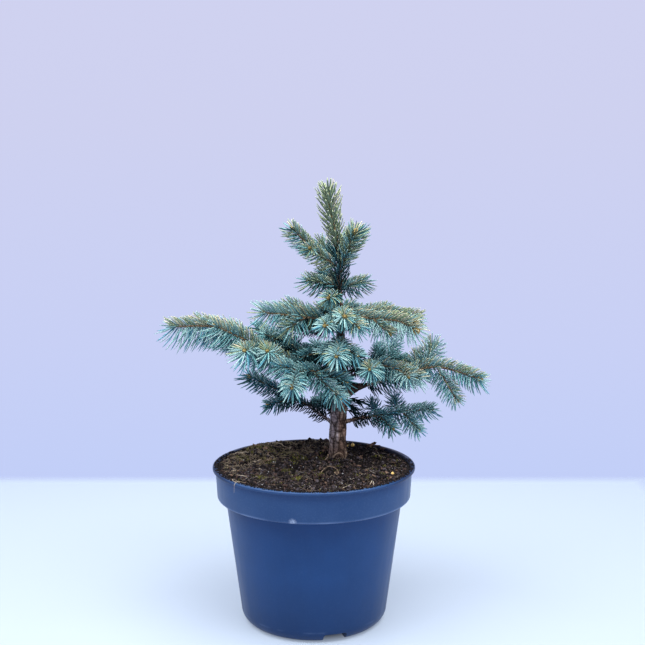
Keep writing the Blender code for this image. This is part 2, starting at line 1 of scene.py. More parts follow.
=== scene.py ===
"""The looks of a young blue spruce in a nursery pot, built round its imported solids, in metres, +Z up.

The needles, twigs, buds, bark, soil and pot are finer meshes in place of the plain solids. They follow the
same table of branches and the same rules of growth.
"""

import math
import random

import bmesh
import bpy
import numpy as np
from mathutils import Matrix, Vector, noise


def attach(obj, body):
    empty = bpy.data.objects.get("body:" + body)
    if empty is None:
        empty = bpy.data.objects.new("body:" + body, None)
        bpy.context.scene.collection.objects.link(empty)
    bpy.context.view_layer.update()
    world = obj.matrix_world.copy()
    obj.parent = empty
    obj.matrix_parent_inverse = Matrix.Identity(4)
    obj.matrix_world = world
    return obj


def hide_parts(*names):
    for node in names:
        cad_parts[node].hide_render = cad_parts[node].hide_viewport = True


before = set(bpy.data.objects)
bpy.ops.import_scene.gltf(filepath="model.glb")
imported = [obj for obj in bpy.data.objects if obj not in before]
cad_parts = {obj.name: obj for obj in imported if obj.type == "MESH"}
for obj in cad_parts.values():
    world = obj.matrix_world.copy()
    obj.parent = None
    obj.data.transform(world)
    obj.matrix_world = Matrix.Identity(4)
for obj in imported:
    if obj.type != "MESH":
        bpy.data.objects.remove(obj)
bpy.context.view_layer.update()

MM = 0.001
GAP = 0.3 * MM
SEED = 7
UP = np.array((0.0, 0.0, 1.0))

# Blender's noise vectors would start from the clock.
noise.seed_set(SEED)

# Pot, as in its solid.
POT_HEIGHT = 176.5 * MM
RIM_RADIUS = 113.8 * MM
WALL = 1.8 * MM
LIP = 1.2 * MM
LIP_HEIGHT = 3 * MM
BAND_HEIGHT = 35 * MM
BAND_FOOT = POT_HEIGHT - BAND_HEIGHT
BAND_RADIUS = 110.2 * MM
BAND_TAPER = 0.9 * MM
BAND_INNER_FOOT = BAND_RADIUS - BAND_TAPER - LIP - WALL
BAND_ROUND = 2.4 * MM
LEDGE_SLOPE = 3 * MM
WALL_TOP_RADIUS = 98.9 * MM
WALL_FOOT_RADIUS = 83 * MM
CORNER_HEIGHT = 14 * MM
FOOT_RADIUS = 71.5 * MM
FLOOR = 13 * MM
FLOOR_FILLET = 8 * MM
NOTCHES = 3
NOTCH_WIDTH = 26 * MM
NOTCH_HEIGHT = 9.5 * MM
NOTCH_FILLET = 2.5 * MM
NOTCH_INNER_RADIUS = 48 * MM
NOTCH_TURN = 287
DRAIN_RADIUS = 4 * MM
DRAIN_PLACE = 60 * MM
DRAIN_SIDES = 24
POT_STEPS = 160
SCUFF = 12 * MM
WORN_SPOT = (-21 * MM, -106 * MM, 143.5 * MM)

# Soil and trunk, as in their solids, but the soil has heaps and clods and the root lobes are flatter. A row
# of the trunk is its height above the soil, its sideways shift and its radius, in millimetres.
SOIL_TOP = 172.5 * MM
SOIL_RELIEF = 1.5 * MM
SOIL_WAVES = ((46, 58, 1.3, 1.0), (95, -70, 0.0, 0.6))
SEAT_RADIUS = 24 * MM
HEAP_BEHIND = 2.0 * MM
HEAP_LEFT = 4.6 * MM
HEAP_ROUND_TRUNK = 4.0 * MM
HEAP_AT_RIM = 2.4 * MM
CLODS = ((160, 1.7 * MM), (390, 0.7 * MM))
TRUNK_FOOT = (27.2 * MM, 38.5 * MM)
TRUNK_CLEARANCE = 11.5 * MM
TRUNK = (
    (0, 0.0, 11.4),
    (5, 0.0, 10.7),
    (14, 0.0, 10.2),
    (43, 0.5, 9.7),
    (69, 2.8, 9.0),
    (92, 6.0, 7.6),
    (128, 4.3, 5.6),
    (157, 2.6, 4.4),
    (191, 1.9, 3.3),
    (222, 2.1, 2.7),
    (254, -1.6, 2.0),
    (279, -7.4, 1.6),
    (305, -10.6, 1.1),
)
ROOT_TURNS = (20, 110, 205, 300)
ROOT_HALF_WIDTH = 40
ROOT_SPREAD = 1.4 * MM
ROOT_TOP = 12 * MM

# Branches, as in their solids, in millimetres and degrees: the height of the root on the trunk, the bare
# limb, the leafy stem and the side shoots. Limb and stem are runs of (length, turn, rise). A side shoot is
# (place along the stem, length, turn, rise).
BRANCHES = {
    "low_right": (42, [(34, 3, 11)], [(12, 0, 9), (32, 18, 4), (34, 355, 7)],
                  [(0.16, 20, 108, 34), (0.18, 27, 308, -24), (0.48, 20, 100, 48), (0.56, 30, 316, -36)]),
    "low_left": (37, [(44, 153, 29)], [(18, 155, 18), (18, 150, 24), (46, 182, 26)],
                 [(0.24, 32, 195, -8), (0.30, 34, 105, 12)]),
    "low_back": (50, [(38, 98, 4)], [(16, 96, 2), (44, 92, -4)],
                 [(0.25, 28, 142, -4), (0.30, 28, 44, -6), (0.55, 24, 118, 8)]),
    "mid_right": (80, [(30, 2, 13)], [(36, 16, 11), (48, 358, 15), (54, 338, -11)],
                  [(0.25, 40, 60, 10), (0.45, 34, 82, 20), (0.52, 36, 66, 40), (0.62, 46, 316, -50)]),
    "mid_right_front": (93, [(24, 350, 24)], [(22, 350, 24), (50, 336, -13)],
                        [(0.22, 36, 260, 2), (0.66, 18, 300, -15)]),
    "back_right": (100, [(40, 45, 4)], [(34, 43, 6), (32, 62, 32)],
                   [(0.25, 38, 80, 24), (0.42, 34, 72, -6), (0.50, 26, 24, 2)]),
    "mid_back": (92, [(36, 104, 14)], [(34, 100, 12), (44, 92, 8)],
                 [(0.20, 36, 140, 6), (0.35, 34, 62, 8), (0.55, 30, 130, 18)]),
    "front_left": (100, [(34, 228, 11)], [(29, 207, 5), (34, 255, -20)],
                   [(0.12, 36, 335, -14), (0.22, 50, 316, -30), (0.45, 24, 192, 18)]),
    "long_left": (96, [(38, 181, 14)], [(14, 181, 14), (46, 188, 24), (49, 181, 33), (60, 187, 3)],
                  [(0.22, 34, 130, 5), (0.25, 32, 254, 22), (0.38, 34, 246, 6), (0.46, 45, 200, 28),
                   (0.52, 32, 138, 8), (0.72, 22, 150, 10)]),
    "back_left": (107, [(38, 148, 12)], [(22, 148, 12), (62, 157, 26)],
                  [(0.15, 32, 95, 4), (0.34, 32, 190, 4), (0.45, 30, 110, 22)]),
    "inner_left": (126, [], [(24, 205, 4), (28, 215, -8)], []),
    "inner_right": (128, [], [(18, 340, -20), (14, 304, -30)], []),
    "front": (139, [], [(30, 266, -4), (36, 264, -9)], [(0.35, 24, 215, -18), (0.40, 26, 320, -20)]),
    "upper_back_left": (150, [(14, 140, 10)], [(30, 140, 12), (36, 135, 16)], [(0.35, 28, 180, 8)]),
    "upper_back": (158, [(14, 95, 10)], [(30, 95, 10), (36, 100, 4)],
                   [(0.30, 30, 140, 6), (0.35, 30, 60, 10)]),
    "upper_left": (161, [(14, 190, 8)], [(26, 192, 8), (50, 194, 8)],
                   [(0.22, 34, 148, 16), (0.34, 26, 216, -24)]),
    "upper_right_back": (162, [], [(56, 38, 7)], [(0.40, 30, 82, 4)]),
    "front_high_left": (166, [], [(50, 250, -4)], []),
    "upper_right": (170, [(14, 24, -2)], [(38, 20, -2), (43, 352, -5)], [(0.35, 26, 55, 5)]),
    "front_high_right": (172, [], [(48, 275, 1)], [(0.45, 30, 310, -24)]),
    "upper_right_front": (173, [(12, 338, -8)], [(24, 336, -12), (34, 341, -3), (24, 324, -19)],
                          [(0.35, 26, 322, -34), (0.74, 16, 350, -4)]),
    "small_front": (193, [], [(27, 243, -5)], []),
    "small_right": (199, [], [(35, 36, 9)], []),
    "small_left": (201, [], [(38, 199, 13)], []),
    "small_back": (204, [], [(40, 118, 14)], []),
    "top_right": (221, [], [(48, 318, 62)], [(0.60, 18, 20, 60)]),
    "top_left": (222, [], [(34, 200, 34), (39, 206, 42)], [(0.50, 13, 245, 15)]),
    "top_back_left": (228, [], [(42, 125, 30)], []),
    "top_back_right": (232, [], [(38, 66, 40)], []),
}
LEADER_FROM = 243
LEADER_CAP = 4 * MM

# The branches that have no bare limb, with their heights on the trunk.
FROM_TRUNK = {name: row[0] for name, row in BRANCHES.items() if not row[1]}

# Twigs: the source's rule for boughs that grow away from the viewer.
TWIG_BRANCHES = ("low_back", "mid_back", "back_left", "upper_back_left", "upper_back", "upper_right_back")
TWIG_SHOOT_LENGTH = 34 * MM
TWIG_PLACES = (0.32, 0.58)
TWIG_SHARE = 0.42
TWIG_LONGEST = 26 * MM
TWIG_SPREAD = (44, 60)
TWIG_LIFT = (-0.1, 0.35)
TWIG_CLEARANCE = 6 * MM

# Limb thickness, as in the solids.
LIMB_LEAST = 1.0 * MM
LIMB_PER_METRE = 6.5 * MM
LIMB_TAPER = 0.78
COLLAR = (0.35, 8 * MM)
COLLARS = {"mid_right": (2.5, 27 * MM), "low_right": (0.5, 8 * MM)}
CURVE_STEPS = 8

# Shoots: their bark's radii at the root and the tip.
STEM_TIP = 1.0 * MM
SIDE_ROOT = 1.35 * MM
SIDE_TIP = 0.9 * MM
LEADER_ROOT = 2.4 * MM
LEADER_TIP = 1.3 * MM

# Needles to a metre of shoot, limb or trunk. Those on the trunk run from one height above the soil to
# another. A weak shoot on the trunk has its height, turn, rise and length.
NEEDLES_PER_METRE = 3550
OLD_PER_METRE = 2650
LEADER_PER_METRE = 2200
TRUNK_NEEDLES = (188, 243, 2300)
WEAK_SHOOTS = ((70, 2, -4, 15), (63, 352, -10, 13), (57, 8, -12, 12), (112, 30, 0, 10), (74, 215, 5, 11))
WEAK_NEEDLES = 20
WEAK_LENGTH = 13 * MM
GOLDEN_TURN = math.radians(137.508)

# Needle length, in millimetres, by height above the soil, and what makes it differ. Where needles droop,
# those below a shoot are longer than those above it.
NEEDLE_HEIGHTS = (0, 70, 92, 112, 150, 176, 196, 240, 305)
NEEDLE_LENGTHS = (14.5, 15, 20, 22.5, 23.5, 21.5, 17, 19, 21)
SHADED = ("low_back", "back_right", "mid_back", "back_left", "inner_left", "inner_right")
SHADED_SHARE = 0.7
OLD_LENGTH = 9.5 * MM
INNER_SHARE = 0.84
DROOP = 0.21
DROOPS = {"long_left": 0.34, "upper_left": 0.12, "leader": 0.05}

# How much of a shoot is bare at its root, or of a limb outside the trunk.
BARE_STEM = 1 * MM
BARE_SIDE = 4 * MM
BARE_AT_TRUNK = 3 * MM
BARE_LIMB = 8 * MM
BARE_LIMBS = {"mid_right": 21 * MM, "mid_right_front": 12 * MM}

# Needle thickness. The leader's are wider than the rest by their own share.
NEEDLE_WIDTH = 1.42 * MM
NEEDLE_THICKNESS = 1.22 * MM
LEADER_WIDTH = 1.42

# How far needles lean out from their shoot, in degrees, by height above the soil. Towards the shoot's tip
# they lean less and are shorter, and each is bent forward.
LEAN_HEIGHTS = (0, 190, 225)
LEANS = (61, 58, 47)
LEAN_SAG = 14
OLD_LEAN = 6
LEAN_TIP = 37
LEADER_LEAN = 37
LEADER_LEAN_TIP = 29
TIP_SHORTER = 0.08
LEADER_TIP_SHORTER = 0.30
UPTURN = 0.05
BEND = 15
TIP_REGION = 11 * MM

# Branches seen from the side, and the share that stays of their needles that point to the viewer or away.
PARTED = ("long_left", "upper_left", "upper_right_front", "mid_right", "mid_right_front", "top_left")
PARTED_KEPT = 0.35

# Where a needle's room is tested, how far it may stray, how clear of wood it keeps, and the shares of its
# length that are tried.
TESTED_PLACES = (0.45, 0.75, 1.0)
STRAY = 4.0 * MM
CLEAR_OF_WOOD = 0.6 * MM
SHARES = (1.0, 0.86, 0.72, 0.58)

# A needle's rings, each its place along the needle and its share of the width. The last part, from the tip
# ring on, has the outer material.
NEEDLE_RINGS = ((0.0, 0.55), (0.13, 1.0), (0.58, 1.0), (0.88, 0.70))
TIP_RING = 2
FRONT, OUTER, BACK = 0, 1, 2

# Chance in the needles: their places along and round a shoot, their lean in degrees, their ends and lengths.
PLACE_JITTER = 0.4
TURN_JITTER = 0.09
LEAN_JITTER = 2.8
END_JITTER = 0.025
LENGTH_RANGE = (0.88, 1.08)

# The needles' plain base colours: the side towards the shoot's tip, and the outer part. The back is darker.
# Each spray is dealt a few of them.
TINTS = {
    "deep": ((0.008, 0.032, 0.036), (0.013, 0.044, 0.048)),
    "shade": ((0.034, 0.108, 0.116), (0.050, 0.140, 0.148)),
    "teal": ((0.096, 0.250, 0.262), (0.104, 0.262, 0.272)),
    "blue": ((0.185, 0.415, 0.425), (0.200, 0.425, 0.430)),
    "cold": ((0.098, 0.320, 0.405), (0.115, 0.345, 0.430)),
    "silver": ((0.335, 0.545, 0.530), (0.350, 0.550, 0.525)),
    "sage": ((0.290, 0.365, 0.235), (0.360, 0.430, 0.265)),
    "olive": ((0.125, 0.178, 0.112), (0.150, 0.205, 0.125)),
    "fresh": ((0.320, 0.420, 0.265), (0.400, 0.460, 0.265)),
    "cream": ((0.505, 0.505, 0.360), (0.590, 0.555, 0.385)),
}
BACK_SHADE = (0.40, 0.45, 0.49)
TONES = ((0.08, "deep"), (0.25, "shade"), (0.44, "teal"), (0.66, "blue"), (9.9, "silver"))

# What sets a needle's tone. The first three go by its height as a share of the tree's: the crown's reach in
# millimetres, how much darker it is deep inside, and how much paler towards a shoot's tip.
CROWN_REACH = ((0.1, 0.35, 0.6, 0.75, 1.0), (80, 95, 70, 36, 18))
INNER_SHADE = ((0.45, 0.65, 0.8), (0.62, 0.36, 0.12))
TIP_TONE = ((0.60, 0.75), (0.12, -0.55))
LEADER_TIP_TONE = 0.08
TONE = 0.60
# Painted light: a needle is paler by this much times how far up it faces.
UPWARD_PAINTED_LIGHT = 0.24
OLD_TONE = 0.6
TONE_JITTER = 0.13
TOP_FROM = 0.68
TOP_TONE = 0.70
# Of the needles dealt painted sunlight, the share that are cream rather than yellow-green.
CREAM_SHARE = 0.55
LEADER_CREAM_SHARE = 0.22

# How each branch differs: how pale its needles are, which is each spray's own tone with painted shade on the
# back and inner branches and painted light on several in front; how many of its upper ones are yellow at the
# tip, as painted sunlight on new growth; how many are cold blue, how many are greener than the rest, and how
# long they are.
LOOKS = {
    "low_right": (0.03, 0.0, 0.60, 0.0, 1.02),
    "low_left": (-0.05, 0.0, 0.90, 0.0, 0.90),
    "low_back": (-0.10, 0.0, 0.2, 0.0, 1.0),
    "mid_right": (0.10, 0.55, 0.20, 0.0, 0.92),
    "mid_right_front": (0.34, 0.45, 0.1, 0.0, 0.84),
    "back_right": (-0.16, 0.0, 0.1, 0.0, 0.95),
    "mid_back": (-0.12, 0.05, 0.1, 0.0, 1.0),
    "front_left": (0.14, 0.05, 0.25, 0.0, 0.92),
    "long_left": (0.12, 0.60, 0.30, 0.0, 1.04),
    "back_left": (-0.12, 0.05, 0.1, 0.1, 1.0),
    "inner_left": (-0.18, 0.0, 0.1, 0.0, 1.0),
    "inner_right": (-0.14, 0.0, 0.1, 0.0, 1.0),
    "front": (0.24, 0.12, 0.1, 0.05, 0.80),
    "upper_back_left": (0.0, 0.15, 0.0, 0.2, 0.9),
    "upper_back": (-0.04, 0.15, 0.0, 0.2, 0.9),
    "upper_left": (0.12, 0.30, 0.10, 0.15, 1.08),
    "upper_right_back": (0.04, 0.30, 0.0, 0.2, 0.9),
    "front_high_left": (0.20, 0.10, 0.2, 0.1, 0.78),
    "upper_right": (0.46, 0.75, 0.05, 0.0, 0.78),
    "front_high_right": (0.22, 0.30, 0.1, 0.1, 0.82),
    "upper_right_front": (0.46, 0.75, 0.05, 0.0, 0.90),
    "small_front": (0.22, 0.20, 0.0, 0.35, 0.9),
    "small_right": (0.44, 0.30, 0.0, 0.35, 1.05),
    "small_left": (0.12, 0.25, 0.0, 0.45, 1.08),
    "small_back": (0.02, 0.20, 0.0, 0.3, 1.0),
    "top_right": (0.26, 0.42, 0.0, 0.55, 1.02),
    "top_left": (0.22, 0.34, 0.0, 0.55, 0.90),
    "top_back_left": (0.08, 0.18, 0.0, 0.35, 0.9),
    "top_back_right": (0.08, 0.18, 0.0, 0.35, 0.9),
    "leader": (0.26, 0.84, 0.0, 1.0, 1.14),
}
MOST_TRIANGLES = 190_000

# Buds at a shoot's end and beside it, and how much larger they are on some branches.
BUD_SIZE = (5.4 * MM, 2.15 * MM)
BESIDE_SIZE = (4.6 * MM, 1.8 * MM)
BUD_SCALES = 9
SHADED_BUDS = 0.5
BIG_BUDS = {"upper_right_front": 1.5, "top_right": 1.4, "long_left": 1.25}

# Bark: how many plates there are to a metre across and up, how deep they are by height on the trunk, and the
# part of the trunk with leaf pegs, with the pegs to a metre of trunk and of limb.
PLATES_ACROSS = 165.0
PLATES_UP = 66.0
TRUNK_RELIEF = ((0, 60, 150, 305), (1.0, 0.85, 0.5, 0.25))
PEGGED_TRUNK = (120, 262)
TRUNK_PEGS = 2200
LIMB_PEGS = 2600
DULL = 0.1

# The pale world behind the floor: the height of a direction, from -1 straight down to 1, and its colour.
WORLD = (
    (-0.35, (0.515, 0.617, 0.955)),
    (-0.15, (0.578, 0.631, 0.914)),
    (0.05, (0.617, 0.638, 0.871)),
    (0.30, (0.640, 0.650, 0.871)),
    (0.75, (0.240, 0.250, 0.330)),
)

# Lights: name, energy, size, place, what it is aimed at, and colour.
LIGHTS = (
    ("key", 34, 1.3, (0.45, -0.35, 1.6), (0.0, 0.0, 0.2), (1.0, 0.98, 0.93)),
    ("left", 24, 1.3, (-0.65, -0.25, 1.4), (0.0, 0.0, 0.2), (1.0, 0.99, 0.96)),
    ("side", 3, 0.8, (1.2, -0.6, 0.6), (0.0, 0.0, 0.25), (0.95, 0.97, 1.0)),
)
FLOOR_SIDE = 1.6
FLOOR_FADE = (0.52, 0.56)
FLOOR_GLOW = 0.35

# The camera, worked out from the pot's outline. Its dip is in radians, its lens and sensor in millimetres.
CAMERA_PLACE = (0.0097, -1.1488, 0.4939)
CAMERA_DIP = 0.13553
CAMERA_LENS = 58.4
CAMERA_SENSOR = 36


# Growth: the same rule as the solids follow.

def heading(turn, rise):
    level = math.cos(math.radians(rise))
    turn = math.radians(turn)
    return np.array((math.cos(turn) * level, math.sin(turn) * level, math.sin(math.radians(rise))))


def trunk_point(height):
    """The trunk's centre at a height above the soil, in millimetres."""
    heights, shifts, _ = zip(*TRUNK)
    shift = np.interp(height, heights, shifts) * MM
    return np.array((TRUNK_FOOT[0] + shift, TRUNK_FOOT[1], SOIL_TOP + height * MM))


def trunk_radius(height):
    heights, _, radii = zip(*TRUNK)
    return float(np.interp(height, heights, radii)) * MM


def trunk_line(heights):
    """The trunk's centres and its radii at these heights above the soil."""
    points = np.array([trunk_point(height) for height in heights])
    return points, np.array([trunk_radius(height) for height in heights])


def walk(start, runs):
    points = [start]
    for length, turn, rise in runs:
        points.append(points[-1] + length * MM * heading(turn, rise))
    return np.array(points)


def distances(points):
    """How far along the line each of its points is."""
    steps = np.linalg.norm(np.diff(points, axis=0), axis=1)
    return np.concatenate(([0.0], np.cumsum(steps)))


def sampled(rows, at, places):
    """Rows of three numbers that stand at known distances, worked out for other distances."""
    return np.stack([np.interp(places, at, rows[:, axis]) for axis in range(3)], axis=-1)


def at_distance(points, places):
    """Points of a line at these distances along it."""
    return sampled(points, distances(points), places)


def point_along(points, place):
    return at_distance(points, place * distances(points)[-1])


def shares(points):
    """Each point's distance along the line as a share of the whole."""
    at = distances(points)
    return at / at[-1]


def evenly(points, step):
    """Points at even steps along a line, with both of its ends."""
    length = distances(points)[-1]
    return at_distance(points, np.linspace(0, length, max(2, round(length / step) + 1)))


def curve_spans(points):
    """The smooth curve through the points by Catmull and Rom's rule, one array of points for each span."""
    padded = np.array([2 * points[0] - points[1], *points, 2 * points[-1] - points[-2]])
    spans = []
    for a, b, c, d in zip(padded[:-3], padded[1:-2], padded[2:-1], padded[3:]):
        t = np.linspace(0, 1, CURVE_STEPS + 1)[:, None]
        curve = 2 * b + (c - a) * t + (2 * a - 5 * b + 4 * c - d) * t**2
        spans.append((curve + (3 * b - a - 3 * c + d) * t**3) / 2)
    return spans


class Branch:
    """One branch: its limb's line, and its shoots' lines, the leafy stem first."""

    def __init__(self, name, height, limb, stem, shoots):
        self.name = name
        self.height = height
        carried = MM * (sum(run[0] for run in stem) + sum(shoot[1] for shoot in shoots))
        self.radius = LIMB_LEAST + LIMB_PER_METRE * carried
        knots = walk(trunk_point(height), limb + stem)
        spans = curve_spans(knots)
        stem_line = evenly(np.concatenate(spans[len(limb):]), MM)
        self.limb = None
        if limb:
            joint = knots[len(limb)]
            along = unit(knots[len(limb) + 1] - knots[len(limb) - 1])
            self.limb = evenly(np.concatenate(spans[:len(limb)]), MM)
            stem_line = np.array([joint + GAP / 2 * along, joint + MM * along, *stem_line[2:]])
        self.shoots = [stem_line]
        for place, length, turn, rise in shoots:
            side = walk(point_along(stem_line, place), [(length, turn, rise)])
            self.shoots.append(evenly(side, MM))

    def limb_radii(self, share):
        """The bare limb's radius at shares of its length."""
        return self.radius * (1.0 + (LIMB_TAPER - 1.0) * share)


def twig_candidates(line, draw):
    """Short twigs that could stand on a shoot, to its left and right in turn and a little upwards."""
    length = distances(line)[-1]
    side = draw.choice((-1, 1))
    for place in TWIG_PLACES:
        aside = math.radians(draw.uniform(*TWIG_SPREAD))
        lift = draw.uniform(*TWIG_LIFT)
        root = point_along(line, place)
        ahead = unit(point_along(line, place + 0.05) - root)
        across = side * unit(np.cross(UP, ahead)) + lift * UP
        side = -side
        outward = unit(math.cos(aside) * ahead + math.sin(aside) * across)
        reach = min(TWIG_LONGEST, TWIG_SHARE * length) * outward
        if length > TWIG_SHOOT_LENGTH:
            yield evenly(np.array([root, root + reach]), MM)


def grow_twigs(branches, space):
    """Adds each twig that stays clear of every other mass, of all wood and of its own mass's shoots."""
    for branch in branches:
        if branch.name not in TWIG_BRANCHES:
            continue
        draw = random.Random(f"{SEED} twigs {branch.name}")
        for number, parent in enumerate(list(branch.shoots)):
            for twig in twig_candidates(parent, draw):
                if space.has_room(branch.name, number, twig, TWIG_CLEARANCE):
                    space.axes[branch.name, len(branch.shoots)] = twig
                    branch.shoots.append(twig)


class Space:
    """The room that needles keep to: near their own shoot, not in another one's, and clear of all wood."""

    def __init__(self, branches, leader):
        self.axes = {(b.name, number): line for b in branches for number, line in enumerate(b.shoots)}
        self.axes["leader", 0] = leader
        self.wood = {"trunk": trunk_line(np.arange(0, TRUNK[-1][0], 1.0))}
        for branch in branches:
            if branch.limb is not None:
                self.wood[branch.name] = (branch.limb, branch.limb_radii(shares(branch.limb)))

    def to_shoots(self, points, wanted):
        """The distance from each point to the nearest of the wanted shoots."""
        lines = [line for key, line in self.axes.items() if wanted(key)]
        return nearest(points, np.concatenate(lines)) if lines else np.full(len(points), np.inf)

    def to_wood(self, points, leave_out=()):
        """The distance from each point to the nearest bark."""
        found = np.full(len(points), np.inf)
        for other, (axis, radii) in self.wood.items():
            if other not in leave_out:
                apart = np.linalg.norm(points[:, None] - axis[None], axis=2) - radii
                found = np.minimum(found, apart.min(axis=1))
        return found

    def has_room(self, mass, number, twig, clearance):
        outer = twig[len(twig) // 2:]
        own = self.to_shoots(outer, lambda other: other[0] == mass and other[1] != number)
        apart = np.minimum(own, self.to_shoots(outer, lambda other: other[0] != mass))
        return min(apart.min(), self.to_wood(outer).min()) > clearance

    def shares_free(self, key, roots, reaches):
        """For each needle, the greatest share of its length at which it strays into no other room."""
        found = np.zeros(len(roots))
        others = np.concatenate([line[::2] for other, line in self.axes.items() if other != key])
        own = self.axes.get(key)
        own_wood = ("trunk",) if key[0] == "leader" else (key[0],)
        for share in SHARES:
            left = np.flatnonzero(found == 0)
            if not len(left):
                break
            free = np.ones(len(left), bool)
            for place in TESTED_PLACES:
                points = roots[left] + place * share * reaches[left]
                if own is not None:
                    free &= nearest(points, others) + STRAY > nearest(points, own)
                free &= self.to_wood(points, leave_out=own_wood) > CLEAR_OF_WOOD
            found[left[free]] = share
        return found


def nearest(points, line):
    return np.sqrt(((points[:, None] - line[None]) ** 2).sum(axis=2)).min(axis=1)


def leader_points():
    """The leading shoot runs up the trunk and past its tip."""
    points = [trunk_point(height) for height in np.linspace(LEADER_FROM, TRUNK[-1][0], 6)]
    end = points[-1] - points[-2]
    return evenly(np.array([*points, points[-1] + LEADER_CAP * end / np.linalg.norm(end)]), MM)


def frames_at(line, places):
    """The frames of a line at these distances along it."""
    at = distances(line)
    return [unit(sampled(field, at, places)) for field in frames(line)]


def frames(points):
    """The direction at each point of a line, and two more square to it that turn as little as they can."""
    ahead = np.gradient(points, axis=0)
    ahead /= np.linalg.norm(ahead, axis=1)[:, None]
    level = np.cross(ahead[0], UP)
    if np.linalg.norm(level) < 0.2:
        level = np.cross(ahead[0], (0.0, 1.0, 0.0))
    sides = []
    for axis in ahead:
        level = level - axis * (level @ axis)
        level = level / np.linalg.norm(level)
        sides.append(level)
    sides = np.array(sides)
    return ahead, sides, np.cross(sides, ahead)


# Meshes.

def unit(vectors):
    return vectors / np.maximum(np.linalg.norm(vectors, axis=-1, keepdims=True), 1e-12)


def turned(angles, first, second):
    """The first direction turned towards the second, which is square to it, by each angle."""
    return np.cos(angles)[:, None] * first + np.sin(angles)[:, None] * second


def add_object(name, data):
    obj = bpy.data.objects.new(name, data)
    bpy.context.scene.collection.objects.link(obj)
    return obj


def add_mesh(name, points, faces, slots=None, smooth=True):
    """An object from arrays: points, and faces as arrays of corners that may differ in length."""
    mesh = bpy.data.meshes.new(name)
    mesh.vertices.add(len(points))
    mesh.vertices.foreach_set("co", np.asarray(points, np.float32).ravel())
    corners = np.concatenate([np.asarray(block).ravel() for block in faces])
    sizes = np.concatenate([np.full(len(block), np.asarray(block).shape[1]) for block in faces])
    mesh.loops.add(len(corners))
    mesh.loops.foreach_set("vertex_index", corners.astype(np.int32))
    mesh.polygons.add(len(sizes))
    starts = np.concatenate(([0], np.cumsum(sizes)[:-1]))
    mesh.polygons.foreach_set("loop_start", starts.astype(np.int32))
    if slots is not None:
        mesh.polygons.foreach_set("material_index", np.asarray(slots, np.int32))
    mesh.polygons.foreach_set("use_smooth", np.full(len(sizes), smooth))
    mesh.update(calc_edges=True)
    mesh.validate()
    return add_object(name, mesh)


def repeated(faces, count, each):
    """The faces of one small body, for all its copies. Each copy has this many points."""
    first = np.arange(count)[:, None, None] * each
    return (first + np.array(faces)[None]).reshape(-1, len(faces[0]))


def finish_piece(obj, materials, nodes=()):
    for made in materials:
        obj.data.materials.append(made)
    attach(obj, "root")
    if nodes:
        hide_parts(*nodes)


class Tubes:
    """Round, closed lengths of bark gathered into one mesh."""

    def __init__(self):
        self.points, self.quads, self.triangles, self.count = [], [], [], 0

    def add(self, rings, ahead):
        """Rings of points, each an array (rings, sides, 3), closed at both ends by a low cone."""
        rows, sides = rings.shape[:2]
        start = self.count
        ends = np.array([rings[0].mean(axis=0) - ahead[0], rings[-1].mean(axis=0) + ahead[1]])
        self.points.append(np.concatenate([rings.reshape(-1, 3), ends]))
        row = np.arange(rows - 1)[:, None] * sides
        turn = np.arange(sides)[None]
        after = (turn + 1) % sides
        quads = np.stack([row + turn, row + after, row + sides + after, row + sides + turn], axis=-1)
        self.quads.append(start + quads.reshape(-1, 4))
        first, last = start + rows * sides, start + rows * sides + 1
        turn, after = np.arange(sides), (np.arange(sides) + 1) % sides
        base = start + (rows - 1) * sides
        self.triangles.append(np.stack([start + after, start + turn, np.full(sides, first)], axis=-1))
        self.triangles.append(np.stack([base + turn, base + after, np.full(sides, last)], axis=-1))
        self.count += rows * sides + 2

    def add_line(self, points, radii, sides, ends, relief=None):
        """Bark round a line. Its two end points stand this far on along the line, or back if below 0."""
        rings, ahead = tube_rings(points, radii, sides, relief)
        self.add(rings, (-ahead[0] * ends[0], ahead[-1] * ends[1]))

    def build(self, name):
        faces = [np.concatenate(self.quads), np.concatenate(self.triangles)]
        return add_mesh(name, np.concatenate(self.points), faces)


def tube_rings(points, radii, sides, relief=None):
    """Rings of points round a line. The relief gives how far out each point stands, in metres."""
    ahead, level, up = frames(points)
    turns = np.linspace(0, math.tau, sides, endpoint=False)
    outward = np.cos(turns)[None, :, None] * level[:, None] + np.sin(turns)[None, :, None] * up[:, None]
    radius = np.repeat(np.asarray(radii)[:, None], sides, axis=1)
    if relief:
        smooth = points[:, None] + radius[..., None] * outward
        radius = radius + np.array([relief(point) for point in smooth.reshape(-1, 3)]).reshape(radius.shape)
    return points[:, None] + radius[..., None] * outward, ahead


class Needles:
    """Needles, scales and other small spikes of one tint, gathered into one mesh."""

    def __init__(self):
        self.rows = []

    def add(self, root, start, end, across, length, width, thickness):
        """Arrays, one row a needle: its root, its first and last direction, its flat side, and its sizes."""
        self.rows.append((root, start, end, across, length, width, thickness))

    def build(self, name, shaded=True):
        """The needles as objects of under the most triangles each."""
        if not self.rows:
            return []
        fields = [np.concatenate(column) for column in zip(*self.rows)]
        most = MOST_TRIANGLES // (8 * (len(NEEDLE_RINGS) - 1) + 6)
        made = []
        for number, first in enumerate(range(0, len(fields[0]), most)):
            label = name if number == 0 else f"{name}_{number + 1}"
            made.append(spikes(label, *[field[first:first + most] for field in fields], shaded))
        return made


